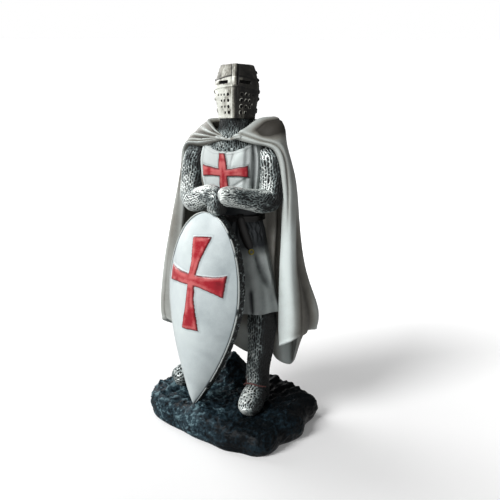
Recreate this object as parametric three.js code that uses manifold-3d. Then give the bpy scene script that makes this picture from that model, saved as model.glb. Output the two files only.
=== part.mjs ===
// A hand-painted resin figurine of a helmeted crusading knight, cast in one piece with its rock base.
// He stands with his hands crossed on the top of a kite shield, in mail, surcoat and long cloak.
// Millimetres, +Z up, the figure faces -Y. The origin is on the floor, under the middle of the rock.
import * as THREE from 'three';
import Module from 'manifold-3d';

// Driving sizes of the whole piece
const figureHeight = 184;
const rockWidth = 97;
const rockDepth = 80;
const rockHeight = 16;
const cloakThickness = 3;
const shieldWidth = 50;
const shieldThickness = 5.5;
const shieldBulge = 11.3;
const crossRelief = 0.9;
const beltHeight = 3.6;
const beltThickness = 1.1;
const bandRelief = 0.5;
const slitHeight = 1.5;
const slitDepth = 1.6;

// The pose is drawn at this height, measured from the soles, and takes its real size from figureHeight
const drawnHeight = 184;
const scale = figureHeight / drawnHeight;
const axisShift = new THREE.Vector3(5.5, 0, 0);

const wasm = await Module();
wasm.setup();

const { sin, cos, abs, pow, sqrt, exp, PI, sign, min, max, hypot, floor } = Math;
const lerp = (a, b, t) => a + (b - a) * t;
const clamp01 = (t) => min(1, max(0, t));
const smooth = (t) => clamp01(t) ** 2 * (3 - 2 * clamp01(t));
const bell = (t, middle, width) => exp(-(((t - middle) / width) ** 2));
const wrapped = (angle) => ((((angle + PI) % (2 * PI)) + 2 * PI) % (2 * PI)) - PI;

// A place on the figure, given in drawn millimetres with the height measured from the soles
const at = (x, y, z) => new THREE.Vector3(
  x * scale + axisShift.x,
  y * scale + axisShift.y,
  z * scale + rockHeight,
);

// Catmull-Rom value of a list at t, where t runs from 0 to 1 over the whole list
function along(list, t) {
  const place = clamp01(t) * (list.length - 1);
  const i = min(floor(place), list.length - 2);
  const f = place - i;
  const [a, b, c, d] = [-1, 0, 1, 2].map((k) => list[min(max(i + k, 0), list.length - 1)]);
  return b.map((_, n) => 0.5 * (2 * b[n] + (c[n] - a[n]) * f
    + (2 * a[n] - 5 * b[n] + 4 * c[n] - d[n]) * f * f
    + (3 * b[n] - a[n] - 3 * c[n] + d[n]) * f * f * f));
}

// Turns points and triangles into a closed solid, with its faces pointing out
function solid(points, triangles) {
  let volume = 0;
  for (const [a, b, c] of triangles) {
    volume += points[a].dot(new THREE.Vector3().crossVectors(points[b], points[c]));
  }
  const faces = volume < 0 ? triangles.map(([a, b, c]) => [a, c, b]) : triangles;
  return new wasm.Manifold(new wasm.Mesh({
    numProp: 3,
    vertProperties: new Float32Array(points.flatMap((p) => [p.x, p.y, p.z])),
    triVerts: new Uint32Array(faces.flat()),
  }));
}

// A closed loft through equal rings, with a flat fan on each end
function loft(rings) {
  const count = rings[0].length;
  const points = rings.flat();
  const triangles = [];
  for (let row = 0; row + 1 < rings.length; row += 1) {
    for (let i = 0; i < count; i += 1) {
      const j = (i + 1) % count;
      const [a, b] = [row * count + i, row * count + j];
      triangles.push([a, b, b + count], [a, b + count, a + count]);
    }
  }
  for (const end of [0, rings.length - 1]) {
    const middle = new THREE.Vector3();
    rings[end].forEach((p) => middle.addScaledVector(p, 1 / count));
    points.push(middle);
    for (let i = 0; i < count; i += 1) {
      const [a, b] = [end * count + i, end * count + ((i + 1) % count)];
      triangles.push(end ? [a, b, points.length - 1] : [b, a, points.length - 1]);
    }
  }
  return solid(points, triangles);
}

// A closed sheet between a front and a back surface, both functions of u and v from 0 to 1
function sheet(front, back, across, down) {
  const points = [];
  for (const face of [front, back]) {
    for (let j = 0; j <= down; j += 1) {
      for (let i = 0; i <= across; i += 1) points.push(face(i / across, j / down));
    }
  }
  const row = across + 1;
  const other = row * (down + 1);
  const triangles = [];
  const quad = (a, b, c, d) => triangles.push([a, b, c], [a, c, d]);
  for (let j = 0; j < down; j += 1) {
    for (let i = 0; i < across; i += 1) {
      const a = j * row + i;
      quad(a, a + 1, a + 1 + row, a + row);
      quad(other + a, other + a + row, other + a + 1 + row, other + a + 1);
    }
  }
  for (let i = 0; i < across; i += 1) {
    const low = down * row + i;
    quad(i, other + i, other + i + 1, i + 1);
    quad(low, low + 1, other + low + 1, other + low);
  }
  for (let j = 0; j < down; j += 1) {
    const left = j * row;
    const right = left + across;
    quad(left, left + row, other + left + row, other + left);
    quad(right, other + right, other + right + row, right + row);
  }
  return solid(points, triangles);
}

// A rounded limb along stations of [x, y, z, half width, half thickness]
function limb(stations, rings, sides) {
  const place = (t) => {
    const [x, y, z] = along(stations, t);
    return at(x, y, z);
  };
  const made = [];
  const span = 1 / rings;
  for (let k = 0; k <= rings; k += 1) {
    const t = k / rings;
    const [, , , wide, thick] = along(stations, t);
    const heading = place(min(1, t + span / 2)).sub(place(max(0, t - span / 2))).normalize();
    const side = new THREE.Vector3().crossVectors(heading, new THREE.Vector3(0.3, -1, 0.35)).normalize();
    const up = new THREE.Vector3().crossVectors(side, heading);
    made.push(Array.from({ length: sides }, (_, i) => {
      const angle = (i / sides) * 2 * PI;
      return place(t)
        .addScaledVector(side, cos(angle) * wide * scale)
        .addScaledVector(up, sin(angle) * thick * scale);
    }));
  }
  return loft(made);
}

// A hoop of wire about a middle, square to the way it faces
function hoop(middle, facing, radius, wire, turns, sides) {
  const front = new THREE.Vector3(...facing).normalize();
  const across = new THREE.Vector3().crossVectors(front, new THREE.Vector3(0, 0, 1)).normalize();
  const up = new THREE.Vector3().crossVectors(across, front);
  const points = [];
  const triangles = [];
  for (let j = 0; j < turns; j += 1) {
    const turn = (j / turns) * 2 * PI;
    const spoke = across.clone().multiplyScalar(cos(turn)).addScaledVector(up, sin(turn));
    for (let i = 0; i < sides; i += 1) {
      const angle = (i / sides) * 2 * PI;
      points.push(at(...middle)
        .addScaledVector(spoke, (radius + wire * cos(angle)) * scale)
        .addScaledVector(front, wire * sin(angle) * scale));
      const [a, b] = [j * sides + i, j * sides + ((i + 1) % sides)];
      const [c, d] = [a, b].map((k) => (k + sides) % (turns * sides));
      triangles.push([a, b, d], [a, d, c]);
    }
  }
  return solid(points, triangles);
}

// The rock: a rough lump that leans out at the left, with boulders on its top. Its outline as drawn, in plan
const rockCorners = [
  [-43, -16], [-31, -22.8], [-19, -27.5], [-8, -32.5], [4, -36], [15, -40], [25, -39.5], [34, -40], [39.5, -35],
  [41, -27], [40.5, -21.5], [44.5, -14], [47, -5], [44.3, 3], [43.5, 13], [44, 22], [41, 27.5], [35.5, 31], [30, 34],
  [20, 36.5], [8, 38.5], [-6, 40], [-20, 39], [-32, 35], [-42, 26.5], [-47.5, 15], [-50, 3], [-49.5, -8],
];
// [x, y, width, height] of each rise on the top
const boulders = [
  [-9.4, 25, 9.5, 16.5], [14, 31, 6, 4], [-38, -2, 10, 3.5], [-30, 14, 10, 4], [27, 24, 10, 2.5], [30, -28, 14, -3],
  [-9, -20, 9, 2],
];

function rockTop(x, y) {
  const rise = boulders.reduce((sum, [bx, by, wide, high]) => (
    sum + high * exp(-((x - bx) ** 2 + (y - by) ** 2) / wide ** 2)
  ), 0);
  const ripple = 0.7 * sin(x * 0.45 + y * 0.2) * cos(y * 0.5 - x * 0.13) + 0.4 * sin(x * 0.9 - y * 0.7);
  return rockHeight - 1 + rise + ripple;
}

function rockOutline(sides) {
  const ring = [...rockCorners.slice(-2), ...rockCorners, ...rockCorners.slice(0, 2)];
  const span = ring.length - 1;
  const drawn = Array.from({ length: sides }, (_, i) => along(ring, (2 + (i / sides) * rockCorners.length) / span));
  const reach = (n) => [min(...drawn.map((p) => p[n])), max(...drawn.map((p) => p[n]))];
  const [left, right] = reach(0);
  const [front, back] = reach(1);
  return drawn.map(([x, y]) => [
    ((x - left) / (right - left) - 0.5) * rockWidth,
    ((y - front) / (back - front) - 0.5) * rockDepth,
  ]);
}

function rock() {
  const outline = rockOutline(36);
  // Wall rings: share of the outline, height and how much fuller the ring is at the left
  const wall = [
    [0.95, 0, 0], [0.985, 0.14, 0], [1, 0.36, 0], [0.985, 0.6, 0.01], [0.93, 0.86, 0.045], [0.8, 1.15, 0.09],
    [0.4, 2.2, 0],
  ];
  const wallRings = wall.map(([share, height, fuller]) => outline.map(([x, y]) => {
    const lump = 1 + 0.014 * sin(x * 0.35 + height * 5) * cos(y * 0.3 + height * 3);
    const left = smooth((-x / rockWidth - 0.2) / 0.2);
    const place = min(1, share * lump + fuller * left);
    return new THREE.Vector3(x * place, y * place, (rockHeight - 1) * height);
  }));
  const spot = (u, v) => [(u - 0.5) * rockWidth * 1.04, (v - 0.5) * rockDepth * 1.04];
  const top = (u, v) => new THREE.Vector3(...spot(u, v), rockTop(...spot(u, v)));
  const below = (u, v) => new THREE.Vector3(...spot(u, v), -5);
  return loft(wallRings).intersect(sheet(top, below, 14, 11));
}

// A section: a superellipse about (x, y) with half width, half depth and squareness
function section(z, [x, y, wide, deep, square], sides, push = () => 0) {
  return Array.from({ length: sides }, (_, i) => {
    const angle = (i / sides) * 2 * PI;
    const reach = pow(pow(abs(cos(angle)), square) + pow(abs(sin(angle)), square), -1 / square);
    const out = push(angle);
    return at(
      x + cos(angle) * (wide * reach + out),
      y + sin(angle) * (deep * reach + out),
      z,
    );
  });
}

// Surcoat: chest, waist and the skirt that flares to the hem. [height, x, y, half width, half depth, squareness]
const surcoatStations = [
  [53, -0.6, 0, 25.4, 15, 2.2],
  [62, -1, 0, 23.6, 14.8, 2.2],
  [76, -0.8, 0, 21, 13.8, 2.2],
  [90, -0.5, 0, 17.5, 12.6, 2.2],
  [101, -0.5, 0, 15, 11, 2.2],
  [109, -0.5, 0, 15, 11, 2.2],
  [121, -0.8, -0.3, 17, 12.4, 2.3],
  [131, -1, -0.4, 18.4, 13, 2.4],
  [137, -1, -0.2, 18.2, 12.7, 2.4],
  [141, -1, 0, 17.4, 12.3, 2.3],
  [148, -1, 0.3, 15.6, 11.6, 2.2],
];

// The section of the surcoat at a height
function surcoatShape(z) {
  let t = 0.5;
  for (let step = 0.25; step > 0.0005; step /= 2) {
    t += along(surcoatStations, t)[0] < z ? step : -step;
  }
  return along(surcoatStations, t).slice(1);
}

// The surcoat's top edge: low and nearly level over the chest, then up over both shoulders
function neckline(x) {
  return 139 + 3.9 * pow(abs((x + 2.2) / 14.7), 2.3) + 6 * smooth((abs(x + 0.7) - 14) / 1.6);
}

function surcoatFold(angle, height) {
  const fall = clamp01((101 - height) / 50);
  return fall * (0.75 * cos(9 * angle + 0.6) + 0.45 * cos(5 * angle - height * 0.03));
}

function surcoat() {
  const sides = 30;
  const push = (z) => (angle) => surcoatFold(angle, z);
  const rings = [53, 61, 70, 80, 90, 101, 109, 118, 127].map((z) => section(z, surcoatShape(z), sides, push(z)));
  const wide = section(140, surcoatShape(140), sides);
  for (const share of [0.35, 0.7, 1]) {
    rings.push(wide.map((p, i) => {
      const z = lerp(127, min(142, neckline((p.x - axisShift.x) / scale)), share);
      return section(z, surcoatShape(z), sides)[i];
    }));
  }
  return loft(rings);
}

// Front of the chest at a place across and a height, for what lies on it
function chestFront(x, z) {
  const [cx, cy, wide, deep, square] = surcoatShape(z);
  const across = min(0.98, abs((x - cx) / wide));
  return cy - deep * pow(1 - pow(across, square), 1 / square);
}

function belt() {
  const low = 104.3 - beltHeight / 2 / scale;
  const high = low + beltHeight / scale;
  const waist = surcoatShape(104.3);
  waist[2] = 15 + beltThickness;
  waist[3] = 11 + beltThickness;
  return loft([section(low, waist, 32), section(high, waist, 32)]);
}

// Limbs: [x, y, height over the soles, half width, half thickness]
const rightArm = [
  [-20, 2, 140, 6.5, 6.5], [-24, 0.5, 133, 7.8, 7.8], [-25.8, -0.5, 123, 7.2, 7.2], [-25.6, -3.5, 113.4, 6.5, 6.4],
  [-19.4, -9.8, 112.6, 6.3, 6.1], [-11.7, -16, 115.7, 5.9, 5.8], [-5.2, -21, 118.2, 5.4, 5.2],
  [-0.8, -24, 117.4, 5, 4.6], [0.4, -25.2, 114.2, 4.9, 4], [0.8, -25.5, 111.2, 4.9, 3.5], [0.8, -25.3, 109.2, 3.4, 2],
];
const leftArm = [
  [16.5, 2, 140, 6.5, 6.5], [20, 1, 134, 7.8, 7.8], [21.4, -0.5, 124, 7.4, 7.4], [21.5, -3.4, 116.4, 6.8, 6.8],
  [18.9, -8, 114.5, 6.2, 6.1], [14.9, -13, 115.6, 5.6, 5.5], [10.6, -17, 117, 5.4, 5.3], [7.2, -20.4, 118, 5.3, 5],
  [4.6, -23, 118.2, 5, 4.5], [2.6, -24.4, 118.2, 4.4, 3.8], [1.2, -24.8, 118, 2.8, 2.2],
];
const leftLeg = [
  [14.8, 0.5, 55, 7, 7], [16.2, -2.2, 46, 8, 8], [16, -3.2, 34, 7.2, 7.2], [14.6, -3, 24, 6.6, 6.8],
  [13.4, -2, 14, 6.2, 6.4], [12.8, -0.5, 6, 6.3, 6.6], [12.6, 0, 0, 6, 6],
];
const rightLeg = [
  [-14.5, 1, 56, 7.6, 7.6], [-17.5, 1.5, 46, 8, 8], [-21.5, 2.5, 34, 7, 7], [-25, 4, 24, 6.5, 6.7], [-27.5, 5.5, 15, 6.1, 6.3],
  [-28.5, 6.5, 8, 6.2, 6.4], [-28.8, 7, 4, 6, 6],
];
const leftFoot = [
  [11, 5.5, 3, 3.5, 3], [11.6, 3, 3.4, 5.6, 5.2], [12.6, -4, 4, 6.7, 6], [13.9, -11, 2.6, 6.9, 5.2],
  [15.1, -16.8, 0.8, 6, 4.2], [15.8, -20, -0.6, 3.4, 2.2],
];
const rightFoot = [
  [-23.5, 9.5, 7, 3.5, 3], [-25.5, 8, 7.4, 5.6, 5.2], [-30.5, 4, 8, 6.6, 6], [-34.5, 0.5, 6.4, 6.6, 5],
  [-37.5, -2.2, 4.4, 5.6, 4], [-39.2, -3.8, 3.2, 3.2, 2],
];

// Kite shield, point down on the rock and turned a little to the figure's right
const shieldApex = at(-4.4, -24.4, 109.2);
const shieldPoint = at(-16.5, -22, -0.8);
const shieldYaw = -15 * PI / 180;
const shieldDown = shieldPoint.clone().sub(shieldApex);
const shieldAcross = new THREE.Vector3(cos(shieldYaw), sin(shieldYaw), 0);
const shieldOut = new THREE.Vector3().crossVectors(shieldAcross, shieldDown).normalize().negate();
shieldAcross.crossVectors(shieldDown, shieldOut).normalize().negate();
if (shieldOut.y > 0) shieldOut.negate();
if (shieldAcross.x < 0) shieldAcross.negate();
const shieldWidest = 0.4;

// Half width at v, from 0 at the rounded top to 1 at the point: an ellipse above, a long taper below
function shieldHalf(v) {
  const above = (shieldWidest - v) / shieldWidest;
  const below = (v - shieldWidest) / (1 - shieldWidest);
  const share = v < shieldWidest ? sqrt(max(0, 1 - above * above)) : 1 - pow(below, 1.7);
  return (shieldWidth / 2) * share;
}

// A point of the shield: across from -1 to 1, down from 0 to 1, lifted out from the face
function onShield(across, v, lift) {
  const bulge = shieldBulge * pow(max(0, sin(PI * v)), 0.75) * (1 - across * across);
  return shieldApex.clone()
    .addScaledVector(shieldDown, v)
    .addScaledVector(shieldAcross, across * shieldHalf(v))
    .addScaledVector(shieldOut, bulge + lift);
}

function shield() {
  const reach = (t) => lerp(0.004, 0.996, 0.5 - 0.5 * cos(PI * t));
  const front = (u, v) => onShield(2 * u - 1, reach(v), 0);
  const back = (u, v) => onShield(2 * u - 1, reach(v), -shieldThickness);
  return sheet(front, back, 8, 14);
}

// A cross with flared arms, raised on the shield. Places across are shares of the shield's half width
const crossMiddle = [0.008, 0.313];
// Arms: place across and down of the end, half width of the end and of the middle, and how far the end leans
const crossArms = [
  [0.108, 0.56, 0.224, 0.092, 0], [0.02, 0.108, 0.248, 0.092, 0.21], [0.752, 0.3143, 0.244, 0.12, 0],
  [-0.8, 0.334, 0.176, 0.12, 0],
];

function shieldCross() {
  const place = (x, v, lift) => onShield((x * shieldWidth / 2) / shieldHalf(v), v, lift);
  const downUnit = shieldWidth / 2 / shieldDown.length();
  return crossArms.map(([x, v, wide, narrow, lean], i) => {
    const upright = i < 2;
    const spot = (u, t, lift) => {
      const run = lerp(-0.12, 1, t);
      const off = (2 * u - 1) * lerp(narrow, wide, t * t);
      const [cx, cv] = [lerp(crossMiddle[0], x, run), lerp(crossMiddle[1], v, run)];
      return upright ? place(cx + off, cv - lean * off * downUnit * t, lift) : place(cx, cv + off * downUnit, lift);
    };
    return sheet((u, t) => spot(u, t, crossRelief), (u, t) => spot(u, t, -1), 2, 4);
  });
}

// The cross on the chest: four puffed arms that lie on the surcoat
const chestMiddle = [-1.4, 128.4];
// Arms: place of the end, half width of the end and of the middle
const chestArms = [[11.8, 127.9, 2.8, 2.3], [-15, 129.3, 3.2, 2.1], [-2.6, 139.4, 1.1, 2.6], [-1, 119.5, 2.8, 2.4]];

function chestCross() {
  return chestArms.map(([endX, endZ, wide, narrow]) => {
    const [reachX, reachZ] = [endX - chestMiddle[0], endZ - chestMiddle[1]];
    const length = hypot(reachX, reachZ);
    const spot = (u, t, lift) => {
      const run = lerp(-0.1, 1, t);
      const off = (2 * u - 1) * lerp(narrow, wide, pow(max(0, run), 2.2)) / length;
      const x = chestMiddle[0] + reachX * run + reachZ * off;
      const z = chestMiddle[1] + reachZ * run - reachX * off;
      return at(x, chestFront(x, z) - lift, z);
    };
    return sheet((u, t) => spot(u, t, crossRelief), (u, t) => spot(u, t, -1), 2, 4);
  });
}

// Helmet: a flat-topped barrel with a keel in front, turned to the figure's left and tipped back
const helmetBase = at(-0.35, 0.6, 155.8);
const helmetTurn = new THREE.Euler(-8 * PI / 180, 0, 20 * PI / 180, 'ZXY');
// [height, half width, half depth]
const helmetStations = [
  [0, 9.5, 10.6], [4, 10.1, 11.3], [9, 11, 12.1], [14, 11.5, 12.6], [18.5, 11.4, 12.5], [23, 10.4, 11.5],
  [27.2, 9.1, 10.2], [28, 8.6, 9.7],
];

function helmetPoint(angle, t, lift) {
  const [height, wide, deep] = along(helmetStations, t);
  const facing = wrapped(angle + PI / 2);
  const square = lerp(2, 1.38, smooth((1.8 - abs(facing)) / 1.1));
  const reach = pow(pow(abs(cos(angle)), square) + pow(abs(sin(angle)), square), -1 / square);
  const place = new THREE.Vector3(cos(angle) * (wide * reach + lift), sin(angle) * (deep * reach + lift), height);
  return place.multiplyScalar(scale).applyEuler(helmetTurn).add(helmetBase);
}

function helmet() {
  const sides = 28;
  const rings = [];
  for (const t of [0, 0.143, 0.286, 0.429, 0.571, 0.643, 0.714, 0.857, 0.93, 1]) {
    rings.push(Array.from({ length: sides }, (_, i) => helmetPoint((i / sides) * 2 * PI, t, 0)));
  }
  return loft(rings);
}

// A raised band on the helmet between two angles and two heights, whose ends droop
function helmetBand([from, to], [low, high], lift, across, down, droop = 0, depth = 1) {
  const spot = (u, v, out) => helmetPoint(
    lerp(from, to, u),
    lerp(low, high, v) - droop * pow(abs(2 * u - 1), 1.5),
    out,
  );
  return sheet((u, v) => spot(u, v, lift), (u, v) => spot(u, v, -depth), across, down);
}

// The upright over the brow, the keel under it and the band across the brow
function helmetBands() {
  const front = -PI / 2;
  return [
    helmetBand([front - 0.13, front + 0.13], [0.5, 0.985], bandRelief, 2, 5),
    helmetBand([front - 0.07, front + 0.07], [0.01, 0.52], bandRelief * 0.9, 2, 4),
    helmetBand([front - 1.5, front + 1.5], [0.5, 0.67], bandRelief * 0.7, 12, 1, 0.06),
  ];
}

function eyeSlits() {
  const front = -PI / 2;
  const low = 0.551;
  const high = low + slitHeight / 31;
  return [-1, 1].map((hand) => helmetBand(
    [front + hand * 0.316, front + hand * 0.98],
    [low, high],
    1,
    5,
    1,
    0,
    slitDepth,
  ));
}

// Mail at the neck and over the top of the chest
function coif() {
  const stations = [
    [135, -1, 0, 15.8, 11.6, 2.3], [141, -0.8, 0, 15, 11.3, 2.2], [145, -0.5, 0.2, 12.6, 10.9, 2.1],
    [149, -0.4, 0.4, 10.2, 10.2, 2], [153, -0.5, 0.6, 9.3, 9.5, 2], [158, -0.6, 0.6, 9, 9.2, 2],
  ];
  const rings = [];
  for (let k = 0; k <= 5; k += 1) {
    const [z, ...shape] = along(stations, k / 5);
    rings.push(section(z, shape, 20));
  }
  return loft(rings);
}

// Cloak: each row runs from the left front edge round the back to the right front edge
const cloakRows = [
  [[-1, -13, 147.3], [-5, -10.6, 149.2], [-9.6, -7.6, 151.3], [-16.5, 0, 155], [-13, 8, 155.5], [-6, 13, 154],
    [1, 14, 153.5], [9, 13, 154.6], [14.5, 9.5, 156.3], [17, 4.5, 157], [13, -2, 156.8], [9.4, -8, 153.2],
    [3, -13, 147.8]],
  [[-16.5, -9.8, 143.2], [-20, -6, 146], [-23, -1.5, 148.8], [-24, 4, 150.4], [-19, 9.6, 151], [-9, 15, 150],
    [1, 16.5, 150], [10, 16, 151.2], [19.5, 12, 154.2], [24.3, 6, 155], [24.3, -0.8, 153], [20, -6.5, 148.6],
    [13.5, -11, 145]],
  [[-29, -3.6, 140.3], [-31.2, -2, 140.8], [-32, 2, 141], [-30, 7.4, 141], [-24, 13, 142], [-12, 17, 142],
    [0, 18.5, 142], [12, 17, 142], [21.5, 13, 142], [26, 7.5, 142], [28, 2, 142], [27.6, -4.2, 141.5],
    [24.3, -6, 140.5]],
  [[-30.5, 0.6, 124], [-34.8, -1.2, 124], [-34.9, 4, 124], [-31, 12, 124], [-22, 18, 124], [-11, 20.5, 124],
    [0, 21.5, 124], [11, 20.5, 124], [21, 17.5, 124], [28.5, 11.5, 124], [31.4, 5, 124], [31, -2.4, 124],
    [27.2, -3.8, 124]],
  [[-33, 1, 102], [-39, -1.4, 102], [-39.2, 6, 102], [-33.6, 16, 102], [-22, 22, 102], [-10, 25, 102],
    [2, 26, 102], [13, 25, 102], [23, 21.5, 102], [29.6, 14, 102], [32.7, 6, 102], [32.2, -2, 102],
    [27.4, -3.4, 102]],
  [[-36.5, 1.4, 74], [-44.8, -1.4, 74], [-44.2, 8, 74], [-35.6, 19, 74], [-22, 25.5, 74], [-9, 29, 74],
    [4, 30, 74], [16, 29, 74], [27, 25.5, 74], [32.2, 16.4, 74], [34.4, 7.3, 74], [32.6, -1.7, 74],
    [25.8, -2.6, 74]],
  [[-39, 1.6, 46], [-48.2, -1.4, 48], [-47, 10, 47], [-37.6, 22, 46], [-22, 29, 46], [-7, 31.5, 46],
    [7, 32.5, 46], [19, 31.5, 46], [32, 27.5, 48], [38.6, 17.6, 50], [39.8, 8, 50], [35, -1.8, 48.4],
    [25.4, -2.6, 47]],
  [[-38, 1.6, 35], [-47.2, -0.4, 38.5], [-45.8, 10, 32.5], [-36.6, 22, 27], [-22, 29, 24], [-8.5, 31.5, 14],
    [8.5, 31.8, 17.5], [20, 28.5, 11.5], [29.5, 27, 30], [39.4, 17.6, 40.6], [40, 8, 40], [34.6, -1.4, 37.4],
    [25.6, -1.6, 32.7]],
];

function cloakPoint(u, v) {
  const across = cloakRows.map((row) => along(row, u));
  return along(across, v);
}

// Folds: they deepen towards the hem and fade at both front edges
function cloakFold(u, v) {
  const fall = smooth((v - 0.25) / 0.6);
  const inside = smooth(u / 0.12) * smooth((0.86 - u) / 0.12);
  return fall * inside * (2.1 * cos(2 * PI * 6.5 * u + 0.8 * v) + 0.9 * cos(2 * PI * 11 * u + 2 + 2 * v));
}

function cloakSurface(u, v, depth) {
  const step = 0.004;
  const vector = (a, b) => new THREE.Vector3(...cloakPoint(clamp01(a), clamp01(b)));
  const acrossWay = vector(u + step, v).sub(vector(u - step, v));
  const downWay = vector(u, v + step).sub(vector(u, v - step));
  const out = new THREE.Vector3().crossVectors(acrossWay, downWay).normalize();
  const place = vector(u, v).addScaledVector(out, cloakFold(u, v) - depth);
  return at(place.x, place.y, place.z);
}

function cloak() {
  return sheet((u, v) => cloakSurface(u, v, 0), (u, v) => cloakSurface(u, v, cloakThickness / scale), 30, 12);
}

// The hood, let down behind the neck as a soft pouch
function hood() {
  const stations = [
    [112, 2, 22, 3, 2, 2], [118, 2, 22.4, 8, 3.6, 2], [128, 1.6, 21.6, 12.5, 5.2, 2], [139, 1.2, 19.4, 15.5, 6.2, 2],
    [147, 0.8, 15.8, 16.5, 6.2, 2], [152, 0.5, 13, 14.5, 5, 2], [155, 0.5, 12, 12, 3.2, 2],
  ];
  const rings = [];
  for (let k = 0; k <= 7; k += 1) {
    const [z, ...shape] = along(stations, k / 7);
    rings.push(section(z, shape, 16));
  }
  return loft(rings);
}

// The core joins back, cloak and shoulders, as they are cast
function core() {
  const stations = [
    [52, -3, 12, 24, 14, 2.4], [74, -2, 10, 24, 14, 2.4], [102, -3, 12, 25, 12, 2.4], [124, -2.5, 6, 26, 13, 2.4],
    [140, -2, 5, 23, 11, 2.2], [150, -0.5, 4, 14, 10, 2],
  ];
  const rings = [];
  for (let k = 0; k <= 6; k += 1) {
    const [z, ...shape] = along(stations, k / 6);
    rings.push(section(z, shape, 16));
  }
  return loft(rings);
}

// Cords that tie the cloak under the chin, each with a knot at its end
function clasp() {
  return [-1, 1].map((hand) => limb([
    [0.9 + hand * 7.6, -11.2, 147.4 + hand * 0.5, 0.5, 0.5], [0.9 + hand * 6.6, -12, 147.4 + hand * 0.5, 1, 1],
    [0.9 + hand * 5.2, -12.6, 147.2 + hand * 0.4, 0.6, 0.6], [0.9 + hand * 2.5, -13.2, 146.8, 0.72, 0.72],
    [0.9 + hand * 0.6, -13.3, 146.6, 0.62, 0.62], [0.9 - hand * 0.4, -13.1, 146.4, 0.4, 0.4],
  ], 5, 5));
}

// The free end of the belt lies on the skirt, with a ring at its tip
function beltEnd() {
  const end = limb([
    [6.6, -9.8, 106.5, 1.9, 0.8], [7.2, -11, 104, 2.2, 0.9], [8.3, -10.9, 100.2, 2.3, 0.9],
    [10.1, -10.8, 94.9, 2.4, 0.9], [12, -10.5, 90.6, 2.2, 0.9], [12.9, -10.3, 88.6, 1.4, 0.7],
  ], 6, 6);
  return [end, hoop([13.3, -10.4, 87], [0.5, -1, 0.1], 1.25, 0.4, 12, 5)];
}

// A strap over the instep of the left foot
function footStrap() {
  return limb([
    [6.2, -0.5, 8.2, 0.9, 0.7], [6.4, -4.4, 9.2, 0.9, 0.7], [9, -7.4, 11, 0.9, 0.8], [12.8, -8.3, 11.2, 0.9, 0.8],
    [16.6, -7, 10, 0.9, 0.7], [19, -3.5, 8.8, 0.9, 0.7],
  ], 8, 5);
}

function knight() {
  const parts = [
    surcoat(), belt(), core(), coif(), helmet(), ...helmetBands(), cloak(), hood(), shield(), ...shieldCross(),
    ...chestCross(), ...clasp(), ...beltEnd(), footStrap(),
    limb(rightArm, 15, 10), limb(leftArm, 15, 10),
    limb(leftLeg, 7, 10), limb(rightLeg, 6, 8), limb(leftFoot, 7, 10), limb(rightFoot, 6, 8),
    rock(),
  ];
  let whole = parts.reduce((sum, piece) => sum.add(piece));
  for (const slit of eyeSlits()) whole = whole.subtract(slit);
  return whole;
}

function meshOf(made, name, material) {
  const { vertProperties, triVerts } = made.getMesh();
  const geometry = new THREE.BufferGeometry();
  geometry.setAttribute('position', new THREE.BufferAttribute(new Float32Array(vertProperties), 3));
  geometry.setIndex(new THREE.BufferAttribute(new Uint32Array(triVerts), 1));
  geometry.computeVertexNormals();
  const mesh = new THREE.Mesh(geometry, material);
  mesh.name = name;
  return mesh;
}

const resin = new THREE.MeshStandardMaterial({ color: 0xb9bab2, roughness: 0.55, metalness: 0.1 });
const group = new THREE.Group();
group.add(meshOf(knight(), 'knight_figurine', resin));

export default group;
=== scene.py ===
"""Looks for a hand-painted resin knight figurine: mail, surcoat, cloak, helmet, shield and rock.

Every surface is computed here from the same stations as the solid it stands for. Lengths are millimetres
until a mesh is made. The figure faces -Y, and heights of the figure are counted from its soles.
"""
import itertools
import math
import bpy
import numpy as np
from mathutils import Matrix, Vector


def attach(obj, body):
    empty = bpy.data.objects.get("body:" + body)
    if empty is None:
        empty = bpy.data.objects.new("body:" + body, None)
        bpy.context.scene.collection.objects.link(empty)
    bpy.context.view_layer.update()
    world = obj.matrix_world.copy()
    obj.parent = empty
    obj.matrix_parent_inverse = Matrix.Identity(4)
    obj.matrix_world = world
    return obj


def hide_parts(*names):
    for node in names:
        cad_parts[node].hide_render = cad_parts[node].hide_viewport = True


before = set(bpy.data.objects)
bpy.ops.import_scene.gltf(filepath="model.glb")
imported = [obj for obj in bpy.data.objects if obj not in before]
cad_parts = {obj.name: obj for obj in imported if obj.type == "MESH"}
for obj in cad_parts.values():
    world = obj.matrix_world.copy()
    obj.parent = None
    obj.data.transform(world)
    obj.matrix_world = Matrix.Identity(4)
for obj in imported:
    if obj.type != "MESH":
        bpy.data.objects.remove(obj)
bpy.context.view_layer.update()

NODE = "knight_figurine"
SOLES = np.array([5.5, 0.0, 16.0])
TAU = 2 * math.pi


# Camera
def aim(thing, place, target):
    """Puts an object at a place, given in millimetres, and turns it to look at a target."""
    thing.location = Vector(place) * 0.001
    thing.rotation_euler = (Vector(target) - Vector(place)).to_track_quat("-Z", "Y").to_euler()
    bpy.context.scene.collection.objects.link(thing)


lens = bpy.data.cameras.new("camera")
lens.sensor_width = 36
lens.lens = 64.8
lens.clip_start = 0.01
camera = bpy.data.objects.new("camera", lens)
aim(camera, (214.7, -432.07, 215), (11.84, 2.96, 100.5))
bpy.context.scene.camera = camera


# Number tools
def smooth(t):
    """Zero below 0, one above 1, with a soft start and end."""
    t = np.clip(t, 0, 1)
    return t * t * (3 - 2 * t)


def bell(t, middle, width):
    """One at the middle, falling off on both sides, to about a third at this width from it."""
    return np.exp(-((t - middle) / width) ** 2)


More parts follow.
